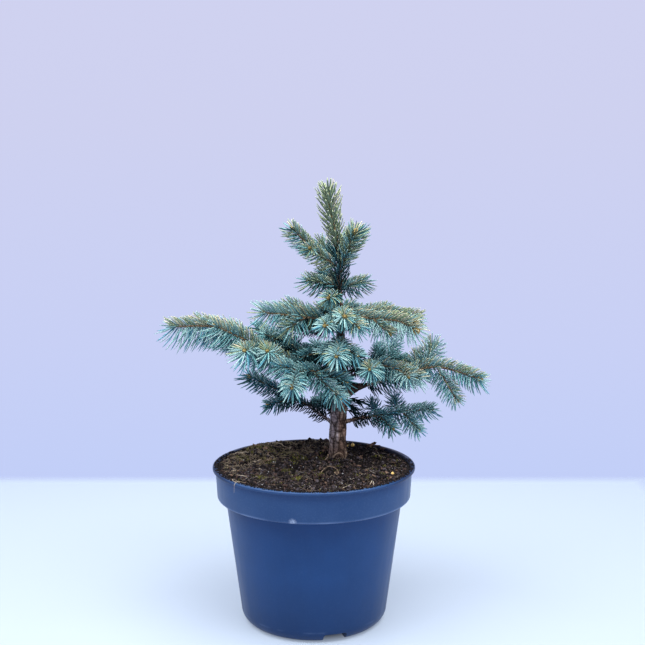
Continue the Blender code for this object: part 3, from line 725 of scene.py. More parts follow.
def spikes(name, root, start, end, across, length, width, thickness, shaded):
    """Curved four-sided spikes that end in a point. Shaded ones have a front, an outer part and a back."""
    rows = []
    for place, share in NEEDLE_RINGS:
        middle = root + length[:, None] * (start * place + (end - start) * place**2 / 2)
        along = unit(start + (end - start) * place)
        flat = unit(across - along * (across * along).sum(axis=1, keepdims=True))
        half = share / 2 * width[:, None] * flat
        rise = share / 2 * thickness[:, None] * np.cross(along, flat)
        rows += [middle + half, middle + rise, middle - half, middle - rise]
    rows.append(root + length[:, None] * (start + (end - start) / 2))
    points = np.stack(rows, axis=1)
    count, each = points.shape[:2]
    quads, slots = [], []
    for ring in range(len(NEEDLE_RINGS) - 1):
        front = OUTER if ring >= TIP_RING else FRONT
        for side in range(4):
            a, b = ring * 4 + side, ring * 4 + (side + 1) % 4
            quads.append((a, b, b + 4, a + 4))
            slots.append(front if side < 2 else BACK)
    quads.append((3, 2, 1, 0))
    slots.append(FRONT)
    last = each - 5
    triangles = [(last + side, last + (side + 1) % 4, each - 1) for side in range(4)]
    face_slots = np.concatenate([np.tile(slots, count), np.full(4 * count, OUTER)]) if shaded else None
    faces = [repeated(quads, count, each), repeated(triangles, count, each)]
    return add_mesh(name, points.reshape(-1, 3), faces, face_slots)


# Shoots.

def needle_length(name, heights, age):
    length = np.interp(heights, NEEDLE_HEIGHTS, NEEDLE_LENGTHS) * LOOKS[name][4] * MM
    if name in SHADED:
        length = length * SHADED_SHARE
    return np.full(len(heights), OLD_LENGTH) if age == 1.0 else length


def place_needles(key, line, radii, per_metre, bare, space, draw, age=0.0):
    """Rows for the needles of one shoot, spiralling round it by the golden turn."""
    total = distances(line)[-1]
    count = int((total - bare) * per_metre)
    if count < 3:
        return None
    jitter = draw.uniform(-PLACE_JITTER, PLACE_JITTER, count)
    at = bare + (total - bare) * (np.arange(count) + 0.5 + jitter) / count
    middle = at_distance(line, at)
    ahead, side, up = frames_at(line, at)
    turn = GOLDEN_TURN * np.arange(count) + draw.uniform(0, math.tau) + draw.normal(0, TURN_JITTER, count)
    outward = unit(turned(turn, side, up))
    near_tip = np.clip(1 - (total - at) / TIP_REGION, 0, 1) * (1 - age)
    down = -outward[:, 2]
    height = (middle[:, 2] - SOIL_TOP) / MM
    lean = np.interp(height, LEAN_HEIGHTS, LEANS) + LEAN_SAG * down + OLD_LEAN * age
    lean_tip, shorter = LEAN_TIP, TIP_SHORTER
    if key[0] == "leader":
        lean, lean_tip, shorter = LEADER_LEAN, LEADER_LEAN_TIP, LEADER_TIP_SHORTER
    lean = lean * (1 - near_tip) + lean_tip * near_tip + draw.normal(0, LEAN_JITTER, count)
    bend = BEND * (1 - 0.5 * near_tip)
    start = turned(np.radians(lean + bend), ahead, outward)
    end = turned(np.radians(lean - bend), ahead, outward)
    end = end + UPTURN * UP + draw.normal(0, END_JITTER, (count, 3))
    length = needle_length(key[0], height, age)
    length = length * (1 + DROOPS.get(key[0], DROOP) * down) * (1 - shorter * near_tip)
    length = length * draw.uniform(*LENGTH_RANGE, count)
    length = length * np.interp(at / total, (0.0, 0.55), (INNER_SHARE, 1.0))
    length = length * np.clip(0.7 + at / (16 * MM), 0.7, 1.0)
    root = middle + outward * (np.interp(at, distances(line), radii) * 0.8)[:, None]
    free = space.shares_free(key, root, length[:, None] * (start + end) / 2)
    kept = free > 0
    if key[0] in PARTED:
        level = (np.abs(outward[:, 1]) > 0.80) & (np.abs(ahead[:, 1]) < 0.6) & (near_tip < 0.5)
        kept &= ~level | (draw.uniform(0, 1, count) < PARTED_KEPT)
    rows = (root, unit(start), unit(end), unit(np.cross(ahead, outward)), length * free)
    return [row[kept] for row in rows], outward[kept], at[kept] / total


def deal_tints(name, root, outward, place, old, draw):
    """A tint for each needle: by spray, then by how far out it is and whether it faces up to the light."""
    count = len(root)
    pale, sunny, cold, green, _ = LOOKS[name]
    axis = np.array((TRUNK_FOOT[0] + 4 * MM, TRUNK_FOOT[1]))
    apart = np.linalg.norm(root[:, :2] - axis, axis=1)
    height = (root[:, 2] - SOIL_TOP) / (TRUNK[-1][0] * MM)
    depth = np.clip(1 - apart / (np.interp(height, *CROWN_REACH) * MM), 0, 1)
    inward = np.interp(height, *INNER_SHADE)
    outer = LEADER_TIP_TONE if name == "leader" else np.interp(height, *TIP_TONE)
    # Painted shade deep inside the crown, and painted light on needles that face up.
    tone = TONE + pale - inward * depth + UPWARD_PAINTED_LIGHT * outward[:, 2] + outer * (place - 0.4)
    tone = tone + draw.uniform(-0.08, 0.08) + draw.normal(0, TONE_JITTER, count) - OLD_TONE * old
    tone = np.where(height > TOP_FROM, np.minimum(tone, TOP_TONE), tone)
    tints = np.full(count, TONES[-1][1], dtype="<U6")
    for below, tint in reversed(TONES[:-1]):
        tints[tone < below] = tint
    chill = draw.uniform(0, 1, count) < cold * draw.uniform(0.6, 1.2) * (1 - 0.6 * outward[:, 2])
    tints[chill & (tints == "blue")] = "cold"
    greener = draw.uniform(0, 1, count) < green
    tints[greener & (tints == "teal")] = "olive"
    tints[greener & np.isin(tints, ("blue", "silver"))] = "sage"
    # Painted sunlight: needles that face up, or the leader's that face right, get the yellow-green and cream
    # tints of new growth.
    facing = outward[:, 0] * 0.8 + 0.3 if name == "leader" else outward[:, 2]
    lit = facing + draw.normal(0, 0.25, count) > 0.30
    lit &= (draw.uniform(0, 1, count) < sunny * (0.55 + 0.75 * place)) & (tone > 0.3)
    tints[lit] = "fresh"
    cream = LEADER_CREAM_SHARE if name == "leader" else CREAM_SHARE
    tints[lit & (draw.uniform(0, 1, count) < cream)] = "cream"
    return tints


def grow_shoot(store, twigs, name, number, line, radii, space, draw):
    """One shoot's bark and needles."""
    points = evenly(line, 1.5 * MM)
    twigs.add_line(points, np.interp(shares(points), shares(line), radii), 8, (MM, MM), peg_relief)
    bare = BARE_STEM if number == 0 else BARE_SIDE
    if number == 0 and name in FROM_TRUNK:
        bare = trunk_radius(FROM_TRUNK[name]) + BARE_AT_TRUNK
    per_metre = LEADER_PER_METRE if name == "leader" else NEEDLES_PER_METRE
    store_needles(store, name, place_needles((name, number), line, radii, per_metre, bare, space, draw), draw)


def grow_limb_needles(store, branch, space, draw):
    """Old, dark needles on a limb, beginning a little way out from the trunk."""
    line, key = branch.limb, (branch.name, -1)
    radii = branch.limb_radii(shares(line))
    bare = trunk_radius(branch.height) + BARE_LIMBS.get(branch.name, BARE_LIMB)
    placed = place_needles(key, line, radii, OLD_PER_METRE, bare, space, draw, age=1.0)
    store_needles(store, branch.name, placed, draw, old=1.0)


def grow_trunk_needles(store, twigs, space, draw):
    """Needles that stay on the upper trunk, and weak shoots with a few dark needles lower down."""
    first, last, per_metre = TRUNK_NEEDLES
    line, radii = trunk_line(np.arange(first, last, 1.0))
    placed = place_needles(("leader", -1), line, radii, per_metre, 0.0, space, draw, age=0.5)
    store_needles(store, "small_left", placed, draw, old=0.35)
    count = WEAK_NEEDLES
    for height, turn, rise, length in WEAK_SHOOTS:
        root = trunk_point(height) + heading(turn, 0) * trunk_radius(height) * 0.8
        line = evenly(walk(root, [(length * 0.5, turn, rise), (length * 0.5, turn, rise - 14)]), MM)
        twigs.add_line(line, np.linspace(0.9, 0.5, len(line)) * MM, 7, (MM, MM), peg_relief)
        at = np.sort(draw.uniform(0.15, 1.0, count)) * distances(line)[-1]
        ahead, side, up = frames_at(line, at)
        outward = turned(GOLDEN_TURN * np.arange(count), side, up)
        start = unit(ahead + outward * draw.uniform(0.35, 0.8, count)[:, None])
        end = unit(start - 0.5 * UP * draw.uniform(0.4, 1.2, count)[:, None])
        sizes = draw.uniform(0.6, 1.0, count) * WEAK_LENGTH
        rows = [at_distance(line, at), start, end, unit(np.cross(ahead, outward)), sizes]
        store_needles(store, "inner_left", (rows, outward, at / at[-1]), draw, old=1.0)


def store_needles(store, name, placed, draw, old=0.0):
    """Deals a shoot's needles out among the stores of their tints. A shoot too short for needles has none."""
    if placed is None:
        return
    rows, outward, place = placed
    count = len(place)
    tints = deal_tints(name, rows[0], outward, place, old, draw)
    width = NEEDLE_WIDTH * draw.uniform(0.88, 1.1, count) * (LEADER_WIDTH if name == "leader" else 1.0)
    thickness = NEEDLE_THICKNESS * draw.uniform(0.9, 1.1, count)
    for tint in TINTS:
        chosen = tints == tint
        if chosen.any():
            store[tint].add(*[field[chosen] for field in (*rows, width, thickness)])


def peg_relief(point):
    """Small rough pegs left by fallen needles."""
    return 0.16 * MM * noise.noise(Vector(point) * 900) + 0.1 * MM * noise.noise(Vector(point) * 2100)


# Buds.

def square_to(ahead):
    """Two directions square to this one and to each other."""
    across = unit(np.cross(ahead, (0.3, 0.2, 1.0)))
    return across, np.cross(ahead, across)


def bud_rings(place, ahead, length, radius):
    """An egg-shaped bud on a shoot's end."""
    turns = np.linspace(0, math.tau, 8, endpoint=False)
    rings = []
    for number, share in enumerate(np.linspace(0.0, 1.0, 7)):
        swell = radius * (math.sin(math.pi * (0.16 + 0.8 * share)) ** 0.8)
        swell *= 1.0 + 0.1 * (number % 2)
        rings.append(place + share * length * ahead + swell * turned(turns + number * 0.3, *square_to(ahead)))
    return np.array(rings)


def add_bud(buds, scales, place, ahead, length, radius, draw):
    """A bud with its scales, which overlap in a spiral."""
    buds.add(bud_rings(place, ahead, length, radius), (ahead * 0.1 * MM, ahead * 0.3 * MM))
    steps = np.arange(BUD_SCALES)
    outward = turned(GOLDEN_TURN * steps + draw.uniform(0, math.tau), *square_to(ahead))
    share = (steps + 0.5) / BUD_SCALES
    root = place + (share * 0.62 * length)[:, None] * ahead
    root = root + outward * (radius * 0.86 * np.sin(math.pi * (0.2 + 0.6 * share)))[:, None]
    start, end = unit(ahead + 0.55 * outward), unit(ahead - 0.25 * outward)
    size = np.full(BUD_SCALES, length * 0.42)
    scales.add(root, start, end, np.cross(ahead, outward), size, size * 0.75, size * 0.2)


def grow_buds(buds, scales, name, line, stem, planned, draw):
    """A bud ends each shoot, and a leafy stem's end has one to three more beside it."""
    ahead = unit(line[-1] - line[-4])
    size = draw.uniform(0.9, 1.1) * (0.88 if stem else 0.78 if planned else 0.60)
    size *= SHADED_BUDS if name in SHADED else BIG_BUDS.get(name, 1.0)
    add_bud(buds, scales, line[-1] - ahead * MM, ahead, *[size * part for part in BUD_SIZE], draw)
    beside = draw.integers(1, 4) if stem else draw.integers(0, 2) if planned else 0
    across = unit(np.cross(ahead, (0.1, 0.3, 1.0)))
    for number in range(beside):
        turn = draw.uniform(0, math.tau) + math.pi * number
        outward = math.cos(turn) * across + math.sin(turn) * np.cross(ahead, across)
        lean = unit(ahead + 0.9 * outward)
        root = line[-1] - ahead * draw.uniform(1.5, 3.5) * MM + outward * 0.7 * MM
        add_bud(buds, scales, root, lean, *[size * part for part in BESIDE_SIZE], draw)


# Bark.

def plates(point):
    """Bark relief: flat plates with narrow cracks between them, taller than they are wide."""
    x, y, z = point
    place = Vector((x * PLATES_ACROSS, y * PLATES_ACROSS, z * PLATES_UP))
    near, _ = noise.voronoi(place + 0.35 * noise.noise_vector(Vector(point) * 150))
    crack = min(1.0, (near[1] - near[0]) / 0.28)
    return crack, noise.fractal(Vector(point) * 420, 0.8, 2.1, 4)


def trunk_relief(point):
    """Plates that get flatter up the trunk, and the root lobes at its foot."""
    height = (point[2] - SOIL_TOP) / MM
    crack, rough = plates(point)
    depth = float(np.interp(height, *TRUNK_RELIEF)) * MM
    root = 0.0
    if height < ROOT_TOP / MM:
        turn = math.degrees(math.atan2(point[1] - TRUNK_FOOT[1], point[0] - TRUNK_FOOT[0]))
        apart = min(abs((turn - one + 180) % 360 - 180) for one in ROOT_TURNS)
        lobe = max(0.0, 1 - apart / ROOT_HALF_WIDTH)
        root = ROOT_SPREAD * lobe * min(1.0, 1 - height * MM / ROOT_TOP) ** 2
    return root + depth * (0.75 * (crack - 0.75) + 0.35 * rough)


def make_trunk(bark):
    heights = np.arange(-4, TRUNK[-1][0] - 1, 0.8)
    points, radii = trunk_line(heights)
    smooth = np.ones(15) / 15
    for axis in (0, 1):
        padded = np.pad(points[:, axis], 7, mode="edge")
        points[:, axis] = np.convolve(padded, smooth, mode="valid")
    trunk = Tubes()
    trunk.add_line(points, radii, 64, (-MM, MM), trunk_relief)
    finish_piece(trunk.build("bark_trunk"), [bark], ["trunk"])


def limb_relief(point):
    crack, rough = plates(point)
    return 0.28 * MM * (crack - 0.6) + 0.22 * MM * rough


def make_boughs(branches, bark):
    """The bare limbs. Each swells into a collar where it leaves the trunk."""
    limbs = Tubes()
    branches = [branch for branch in branches if branch.limb is not None]
    for branch in branches:
        points = evenly(branch.limb, 0.9 * MM)
        swell, length = COLLARS.get(branch.name, COLLAR)
        collar = np.clip(1 - (distances(points) - trunk_radius(branch.height)) / length, 0, 1)
        radii = branch.limb_radii(shares(points)) * (1 + swell * collar**2)
        limbs.add_line(points, radii, 16, (-MM, MM), limb_relief)
    names = ["bough_" + branch.name for branch in branches]
    finish_piece(limbs.build("bark_boughs"), [bark], names)


def make_pegs(branches, bark):
    """Peg-shaped stubs of old leaf bases on the upper trunk and on the limbs."""
    pegs = Needles()
    draw = np.random.default_rng(SEED + 31)
    first, last = PEGGED_TRUNK
    line, _ = trunk_line(np.arange(first, last, 1.0))
    total = distances(line)[-1]
    at = draw.uniform(0, total, int(total * TRUNK_PEGS))
    heights, _, radii = zip(*TRUNK)
    add_pegs(pegs, line, at, np.interp(first + at / MM, heights, radii) * MM, draw)
    for branch in branches:
        if branch.limb is not None:
            total = distances(branch.limb)[-1]
            at = draw.uniform(trunk_radius(branch.height) + 2 * MM, total, int(total * LIMB_PEGS))
            add_pegs(pegs, branch.limb, at, branch.limb_radii(at / total), draw)
    for obj in pegs.build("leaf_pegs", shaded=False):
        finish_piece(obj, [bark])


def add_pegs(pegs, line, at, radii, draw):
    ahead, side, up = frames_at(line, at)
    outward = unit(turned(draw.uniform(0, math.tau, len(at)), side, up))
    root = at_distance(line, at) + outward * (radii * 0.85)[:, None]
    start, end = unit(outward + 0.7 * ahead), unit(outward + 0.2 * ahead)
    length = draw.uniform(1.0, 1.9, len(at)) * MM + radii * 0.15
    width = draw.uniform(0.6, 1.0, len(at)) * MM
    pegs.add(root, start, end, unit(np.cross(ahead, outward)), length, width, width * 0.8)


# Materials.

def new_material(name, roughness=0.5, specular=0.5):
    made = bpy.data.materials.new(name)
    made.use_nodes = True
    tree = made.node_tree
    shader = tree.nodes["Principled BSDF"]
    shader.inputs["Roughness"].default_value = roughness
    shader.inputs["Specular IOR Level"].default_value = specular
    return made, tree, shader


def add_node(tree, kind, inputs=None, **settings):
    made = tree.nodes.new(kind)
    for name, value in settings.items():
        setattr(made, name, value)
    for name, value in (inputs or {}).items():
        if isinstance(value, bpy.types.NodeSocket):
            tree.links.new(value, made.inputs[name])
        else:
            made.inputs[name].default_value = value
    return made


def ramp(tree, factor, stops):
    """A colour ramp through (place, colour) stops."""
    made = add_node(tree, "ShaderNodeValToRGB", {"Fac": factor})
    elements = made.color_ramp.elements
    while len(elements) < len(stops):
        elements.new(0.5)
    for element, (place, colour) in zip(elements, stops):
        element.position = place
        element.color = (*colour, 1.0)
    return made.outputs["Color"]


def object_coordinates(tree, scale=(1, 1, 1)):
    place = add_node(tree, "ShaderNodeTexCoord")
    mapped = add_node(tree, "ShaderNodeMapping", {"Vector": place.outputs["Object"], "Scale": scale})
    return mapped.outputs["Vector"]


def noise_of(tree, place, scale, detail=4.0, roughness=0.55):
    values = {"Vector": place, "Scale": scale, "Detail": detail, "Roughness": roughness}
    return add_node(tree, "ShaderNodeTexNoise", values).outputs["Fac"]


def blend(tree, factor, first, second):
    """The first colour where the factor is 0, and the second where it is 1."""
    made = add_node(tree, "ShaderNodeMix", data_type="RGBA")
    for socket, value in zip((made.inputs[0], made.inputs[6], made.inputs[7]), (factor, first, second)):
        if isinstance(value, bpy.types.NodeSocket):
            tree.links.new(value, socket)
        else:
            socket.default_value = value if isinstance(value, float) else (*value, 1.0)
    return made.outputs[2]


def remap(tree, value, low, high, to_low=0.0, to_high=1.0):
    """A value that runs from one number to another while the first runs from low to high."""
    values = {"Value": value, "From Min": low, "From Max": high, "To Min": to_low, "To Max": to_high}
    return add_node(tree, "ShaderNodeMapRange", values).outputs["Result"]


def maths(tree, operation, *values, kind="ShaderNodeMath"):
    return add_node(tree, kind, dict(enumerate(values)), operation=operation).outputs["Value"]


def product(tree, first, second):
    return maths(tree, "MULTIPLY", first, second)


def band_between(tree, value, low, middle, high):
    """A soft band: 0 at low and high, 1 at the middle."""
    return product(tree, remap(tree, value, low, middle), remap(tree, value, high, middle))


def add_bump(tree, shader, height, strength, distance):
    made = add_node(tree, "ShaderNodeBump", {"Height": height, "Strength": strength, "Distance": distance})
    tree.links.new(made.outputs["Normal"], shader.inputs["Normal"])


def needle_material(name, colour):
    """Waxy needle: a plain, matt colour."""
    made, _, shader = new_material(name, 0.6, 0.12)
    shader.inputs["Base Color"].default_value = (*colour, 1.0)
    return made


def bark_material():
    """Grey and red-brown plates, greyer on the left, with dark cracks, and painted shade that makes the wood
    nearly black among the needles.
    """
    made, tree, shader = new_material("spruce_bark", 0.85, DULL)
    place = object_coordinates(tree)
    axes = add_node(tree, "ShaderNodeSeparateXYZ", {"Vector": place}).outputs
    squashed = object_coordinates(tree, (1, 1, PLATES_UP / PLATES_ACROSS))
    cells = add_node(tree, "ShaderNodeTexVoronoi", {"Vector": squashed, "Scale": PLATES_ACROSS},
                     feature="DISTANCE_TO_EDGE")
    rings = noise_of(tree, object_coordinates(tree, (0.3, 0.3, 1.6)), 330.0, 3.0)
    patchy = noise_of(tree, place, 90.0, 5.0, 0.6)
    fine = noise_of(tree, place, 700.0, 3.0)
    grey = ramp(tree, patchy, [(0.32, (0.215, 0.176, 0.172)), (0.48, (0.420, 0.358, 0.356)),
                               (0.62, (0.680, 0.610, 0.600))])
    brown = ramp(tree, patchy, [(0.32, (0.098, 0.054, 0.040)), (0.48, (0.235, 0.150, 0.112)),
                                (0.62, (0.420, 0.300, 0.225))])
    middle = TRUNK_FOOT[0] - 1.0 * MM
    plate = blend(tree, remap(tree, axes["X"], middle, middle + 3 * MM), grey, brown)
    low = remap(tree, axes["Z"], SOIL_TOP + 12 * MM, SOIL_TOP + 24 * MM, 0.75, 0.0)
    plate = blend(tree, low, plate, brown)
    foot = remap(tree, axes["Z"], SOIL_TOP + 4 * MM, SOIL_TOP + 24 * MM, 0.60, 0.0)
    plate = blend(tree, foot, plate, (0.045, 0.026, 0.019))
    colour = blend(tree, remap(tree, rings, 0.42, 0.58, 0.55, 0.0), plate, (0.012, 0.008, 0.007))
    crack = remap(tree, cells.outputs["Distance"], 0.02, 0.17, 0.92, 0.0)
    colour = blend(tree, crack, colour, (0.006, 0.004, 0.004))
    colour = blend(tree, remap(tree, fine, 0.45, 0.75, 0.0, 0.35), colour, (0.30, 0.20, 0.14))
    # Painted shade: from 60 mm above the soil up, among the needles, the wood is darkened nearly to black.
    dark = remap(tree, axes["Z"], SOIL_TOP + 60 * MM, SOIL_TOP + 84 * MM, 0.0, 0.70)
    colour = blend(tree, dark, colour, (0.014, 0.010, 0.009))
    tree.links.new(colour, shader.inputs["Base Color"])
    add_bump(tree, shader, fine, 0.5, 0.3 * MM)
    return made


def twig_material():
    made, tree, shader = new_material("young_twig", 0.7)
    place = object_coordinates(tree)
    patchy = noise_of(tree, place, 260.0, 4.0)
    colour = ramp(tree, patchy, [(0.3, (0.085, 0.052, 0.026)), (0.5, (0.200, 0.125, 0.062)),
                                 (0.72, (0.330, 0.235, 0.130))])
    tree.links.new(colour, shader.inputs["Base Color"])
    add_bump(tree, shader, noise_of(tree, place, 1500.0), 0.4, 0.2 * MM)
    return made


def bud_material():
    made, tree, shader = new_material("bud_scales")
    patchy = noise_of(tree, object_coordinates(tree), 420.0, 3.0)
    colour = ramp(tree, patchy, [(0.30, (0.13, 0.080, 0.026)), (0.52, (0.32, 0.230, 0.064)),
                                 (0.75, (0.52, 0.390, 0.155))])
    tree.links.new(colour, shader.inputs["Base Color"])
    return made


def soil_material():
    """The near-black peat that shows between the crumbs."""
    made, tree, shader = new_material("potting_soil", 0.95, DULL)
    place = object_coordinates(tree)
    clods = noise_of(tree, place, 130.0, 6.0, 0.65)
    grains = noise_of(tree, place, 900.0, 4.0, 0.7)
    colour = ramp(tree, clods, [(0.32, (0.002, 0.0015, 0.0015)), (0.52, (0.007, 0.0055, 0.0055)),
                                (0.72, (0.020, 0.0165, 0.0165))])
    colour = blend(tree, remap(tree, grains, 0.55, 0.72, 0.0, 0.4), colour, (0.032, 0.027, 0.026))
    tree.links.new(colour, shader.inputs["Base Color"])
    add_bump(tree, shader, grains, 0.9, 0.8 * MM)
    return made


def speckled_material(name, dark, light, scale, roughness):
    """A dull material in patches of two colours."""
    made, tree, shader = new_material(name, roughness, DULL)
    patchy = noise_of(tree, object_coordinates(tree), scale, 3.0)
    tree.links.new(ramp(tree, patchy, [(0.35, dark), (0.68, light)]), shader.inputs["Base Color"])
    return made


def pot_material():
    """Navy blue moulded plastic: dusty and scuffed, with a pale worn line along the band's lower edge."""
    made, tree, shader = new_material("navy_plastic", specular=0.24)
    place = object_coordinates(tree)
    streaks = noise_of(tree, object_coordinates(tree, (1, 1, 0.12)), 120.0, 4.0)
    clouds = noise_of(tree, place, 22.0, 4.0)
    specks = noise_of(tree, place, 620.0, 2.0, 0.5)
    axes = add_node(tree, "ShaderNodeSeparateXYZ", {"Vector": place}).outputs
    height = axes["Z"]
    on_band = remap(tree, height, BAND_FOOT - MM, BAND_FOOT + 2 * MM)
    worn = band_between(tree, height, BAND_FOOT - 0.6 * MM, BAND_FOOT + 1.2 * MM, BAND_FOOT + 3.0 * MM)
    worn = product(tree, worn, remap(tree, clouds, 0.38, 0.66, 0.15, 0.8))
    scuff = band_between(tree, height, SCUFF - 1.6 * MM, SCUFF, SCUFF + 1.6 * MM)
    scuff = product(tree, scuff, remap(tree, noise_of(tree, place, 60.0, 2.0), 0.46, 0.62, 0.0, 0.30))
    colour = blend(tree, remap(tree, clouds, 0.3, 0.7), (0.0060, 0.0410, 0.1400), (0.0080, 0.0485, 0.1630))
    colour = blend(tree, remap(tree, streaks, 0.35, 0.75, 0.0, 0.2), colour, (0.008, 0.058, 0.200))
    # Painted shade: the wall grows darker towards the bottom.
    colour = blend(tree, remap(tree, height, 8 * MM, 75 * MM, 0.42, 0.0), colour, (0.0008, 0.011, 0.046))
    film = product(tree, on_band, remap(tree, clouds, 0.3, 0.7, 0.16, 0.34))
    colour = blend(tree, film, colour, (0.055, 0.105, 0.200))
    dust = blend(tree, on_band, (0.10, 0.10, 0.10), (0.30, 0.30, 0.30))
    dust = blend(tree, remap(tree, specks, 0.5, 0.8), (0.0, 0.0, 0.0), dust)
    colour = blend(tree, dust, colour, (0.060, 0.115, 0.240))
    colour = blend(tree, worn, colour, (0.15, 0.23, 0.40))
    colour = blend(tree, scuff, colour, (0.10, 0.16, 0.30))
    apart = maths(tree, "DISTANCE", place, WORN_SPOT, kind="ShaderNodeVectorMath")
    spot = product(tree, remap(tree, apart, 5 * MM, 1.5 * MM), remap(tree, specks, 0.35, 0.55, 0.2, 0.9))
    colour = blend(tree, spot, colour, (0.34, 0.42, 0.56))
    lip_foot = POT_HEIGHT - LIP_HEIGHT
    # Painted shade: the lip is darkened almost to black, fully at its sides and back and only a little at the
    # front.
    on_lip = remap(tree, height, lip_foot - 0.6 * MM, lip_foot + 0.4 * MM)
    on_lip = product(tree, on_lip, remap(tree, axes["Y"], -90 * MM, -55 * MM, 0.10, 0.85))
    colour = blend(tree, on_lip, colour, (0.0015, 0.0100, 0.0400))
    tree.links.new(colour, shader.inputs["Base Color"])
    tree.links.new(remap(tree, streaks, 0.3, 0.7, 0.30, 0.42), shader.inputs["Roughness"])
    add_bump(tree, shader, streaks, 0.12, 0.4 * MM)
    return made


def inner_pot_material():
    """The pot's inside: the same plastic, dull, stained with earth, and darker than the outside as painted
    shade.
    """
    made, tree, shader = new_material("dark_plastic", 0.6)
    stains = noise_of(tree, object_coordinates(tree), 70.0, 4.0)
    colour = ramp(tree, stains, [(0.35, (0.0012, 0.0060, 0.0240)), (0.70, (0.0060, 0.0110, 0.0300))])
    tree.links.new(colour, shader.inputs["Base Color"])
    return made


# Soil.

def soil_height(x, y):
    """The soil's top above or below its level: the solid's waves, with heaps and clods on them."""
    from_trunk = math.hypot(x - TRUNK_FOOT[0], y - TRUNK_FOOT[1])
    from_rim = BAND_RADIUS - math.hypot(x, y)
    fade = min(1.0, max(0.0, from_trunk / SEAT_RADIUS - 1.0), max(0.0, from_rim / SEAT_RADIUS))
    waves = sum(share * math.sin(a * x + b * y + phase) for a, b, phase, share in SOIL_WAVES)
    spot = Vector((x, y, 0.0))
    heap = 1.2 * MM * noise.fractal(spot * 26, 0.9, 2.0, 3)
    heap += HEAP_BEHIND * max(0.0, y / BAND_RADIUS) ** 1.5
    heap += HEAP_LEFT * max(0.0, (0.77 * y - 0.64 * x) / BAND_RADIUS) ** 2
    heap += HEAP_ROUND_TRUNK * max(0.0, 1 - from_trunk / (30 * MM)) ** 0.7
    towards_front = min(1.0, max(0.0, 0.5 - 1.6 * y / BAND_RADIUS))
    heap += HEAP_AT_RIM * max(0.0, 1 - from_rim / (12 * MM)) * towards_front
    rise = SOIL_RELIEF * fade * waves + heap + clods(spot)
    inside = min(1.0, max(0.0, (from_rim - 3 * MM) / (5 * MM)))
    return inside * rise + (1 - inside) * min(rise, POT_HEIGHT - SOIL_TOP - MM)


def soil_point(x, y, above=0.0):
    """The place on the soil's top, or this far above it."""
    return x, y, SOIL_TOP + soil_height(x, y) + above


def clods(spot):
    """Rounded clods of two sizes, some higher than others, with gaps between them."""
    spot = spot + 2.0 * MM * noise.noise_vector(spot * 260)
    rise = 0.0
    for per_metre, height in CLODS:
        near, places = noise.voronoi(spot * per_metre)
        gap = min(1.0, (near[1] - near[0]) / 0.5)
        rise += height * (math.sqrt(gap) - 0.65 + 0.45 * noise.cell(places[0] * 9.7))
    return rise


def soil_radius():
    low, high = BAND_INNER_FOOT, BAND_RADIUS - WALL
    return low + (high - low) * (SOIL_TOP - BAND_FOOT) / (POT_HEIGHT - BAND_FOOT) - GAP


def make_soil(earth):
    """The soil's top with its clods, and its side down inside the pot, closed below."""
    rings, sides = 100, 320
    edge = soil_radius()
    points, turns = [], np.linspace(0, math.tau, sides, endpoint=False)
    for radius in np.linspace(0.4 * MM, edge, rings):
        points += [soil_point(radius * math.cos(turn), radius * math.sin(turn)) for turn in turns]
    for radius, height in ((edge, SOIL_TOP - 6 * MM), (edge - 2 * MM, BAND_FOOT + 3 * MM)):
        points += [(radius * math.cos(turn), radius * math.sin(turn), height) for turn in turns]
    body = Tubes()
    body.add(np.array(points).reshape(-1, sides, 3)[::-1], (MM * UP, 0 * UP))
    finish_piece(body.build("soil_top"), [earth], ["soil"])


def above_soil(points):
    """Points given in millimetres, with their height above the soil's level."""
    return np.array(points) * MM + SOIL_TOP * UP


def on_soil(draw, count, most=0.97):
    """Places spread evenly over the soil, clear of the trunk."""
    radius = soil_radius() * most * np.sqrt(draw.uniform(0, 1, count))
    turn = draw.uniform(0, math.tau, count)
    x, y = radius * np.cos(turn), radius * np.sin(turn)
    clear = np.hypot(x - TRUNK_FOOT[0], y - TRUNK_FOOT[1]) > TRUNK_CLEARANCE
    return np.array([soil_point(a, b) for a, b in zip(x[clear], y[clear])])


def lumps(name, places, sizes, stretch, draw):
    """Small irregular lumps: rounded blocks with jittered corners, each turned its own way."""
    corners = np.array([(1, 0, 0), (0, 1, 0), (-1, 0, 0), (0, -1, 0), (0, 0, 1), (0, 0, -1),
                        (.6, .6, .5), (-.6, .6, .5), (-.6, -.6, .5), (.6, -.6, .5),
                        (.6, .6, -.5), (-.6, .6, -.5), (-.6, -.6, -.5), (.6, -.6, -.5)], float)
    triangles = []
    for side in range(4):
        after = (side + 1) % 4
        high, low = 6 + side, 10 + side
        triangles += [(side, after, high), (side, low, after), (high, after, 6 + after), (4, high, 6 + after)]
        triangles += [(low, 10 + after, after), (5, 10 + after, low)]
    count = len(places)
    shape = corners[None] * (1 + draw.uniform(-0.28, 0.28, (count, len(corners), 3)))
    shape = shape * stretch[:, None] * sizes[:, None, None]
    points = places[:, None] + np.einsum("nij,nkj->nki", random_turns(draw, count), shape)
    faces = [repeated(triangles, count, len(corners))]
    return add_mesh(name, points.reshape(-1, 3), faces, smooth=False)


def about(axis, turns):
    """Matrices that turn by each of these angles about one axis."""
    first, second = (axis + 1) % 3, (axis + 2) % 3
    made = np.zeros((len(turns), 3, 3))
    made[:, axis, axis] = 1.0
    made[:, first, first] = made[:, second, second] = np.cos(turns)
    made[:, second, first] = np.sin(turns)
    made[:, first, second] = -np.sin(turns)
    return made


def random_turns(draw, count):
    """Random turning matrices, mostly lying flat."""
    spin = draw.uniform(0, math.tau, count)
    tip, roll = draw.normal(0, 0.5, count), draw.normal(0, 0.5, count)
    return about(2, spin) @ about(0, tip) @ about(1, roll)


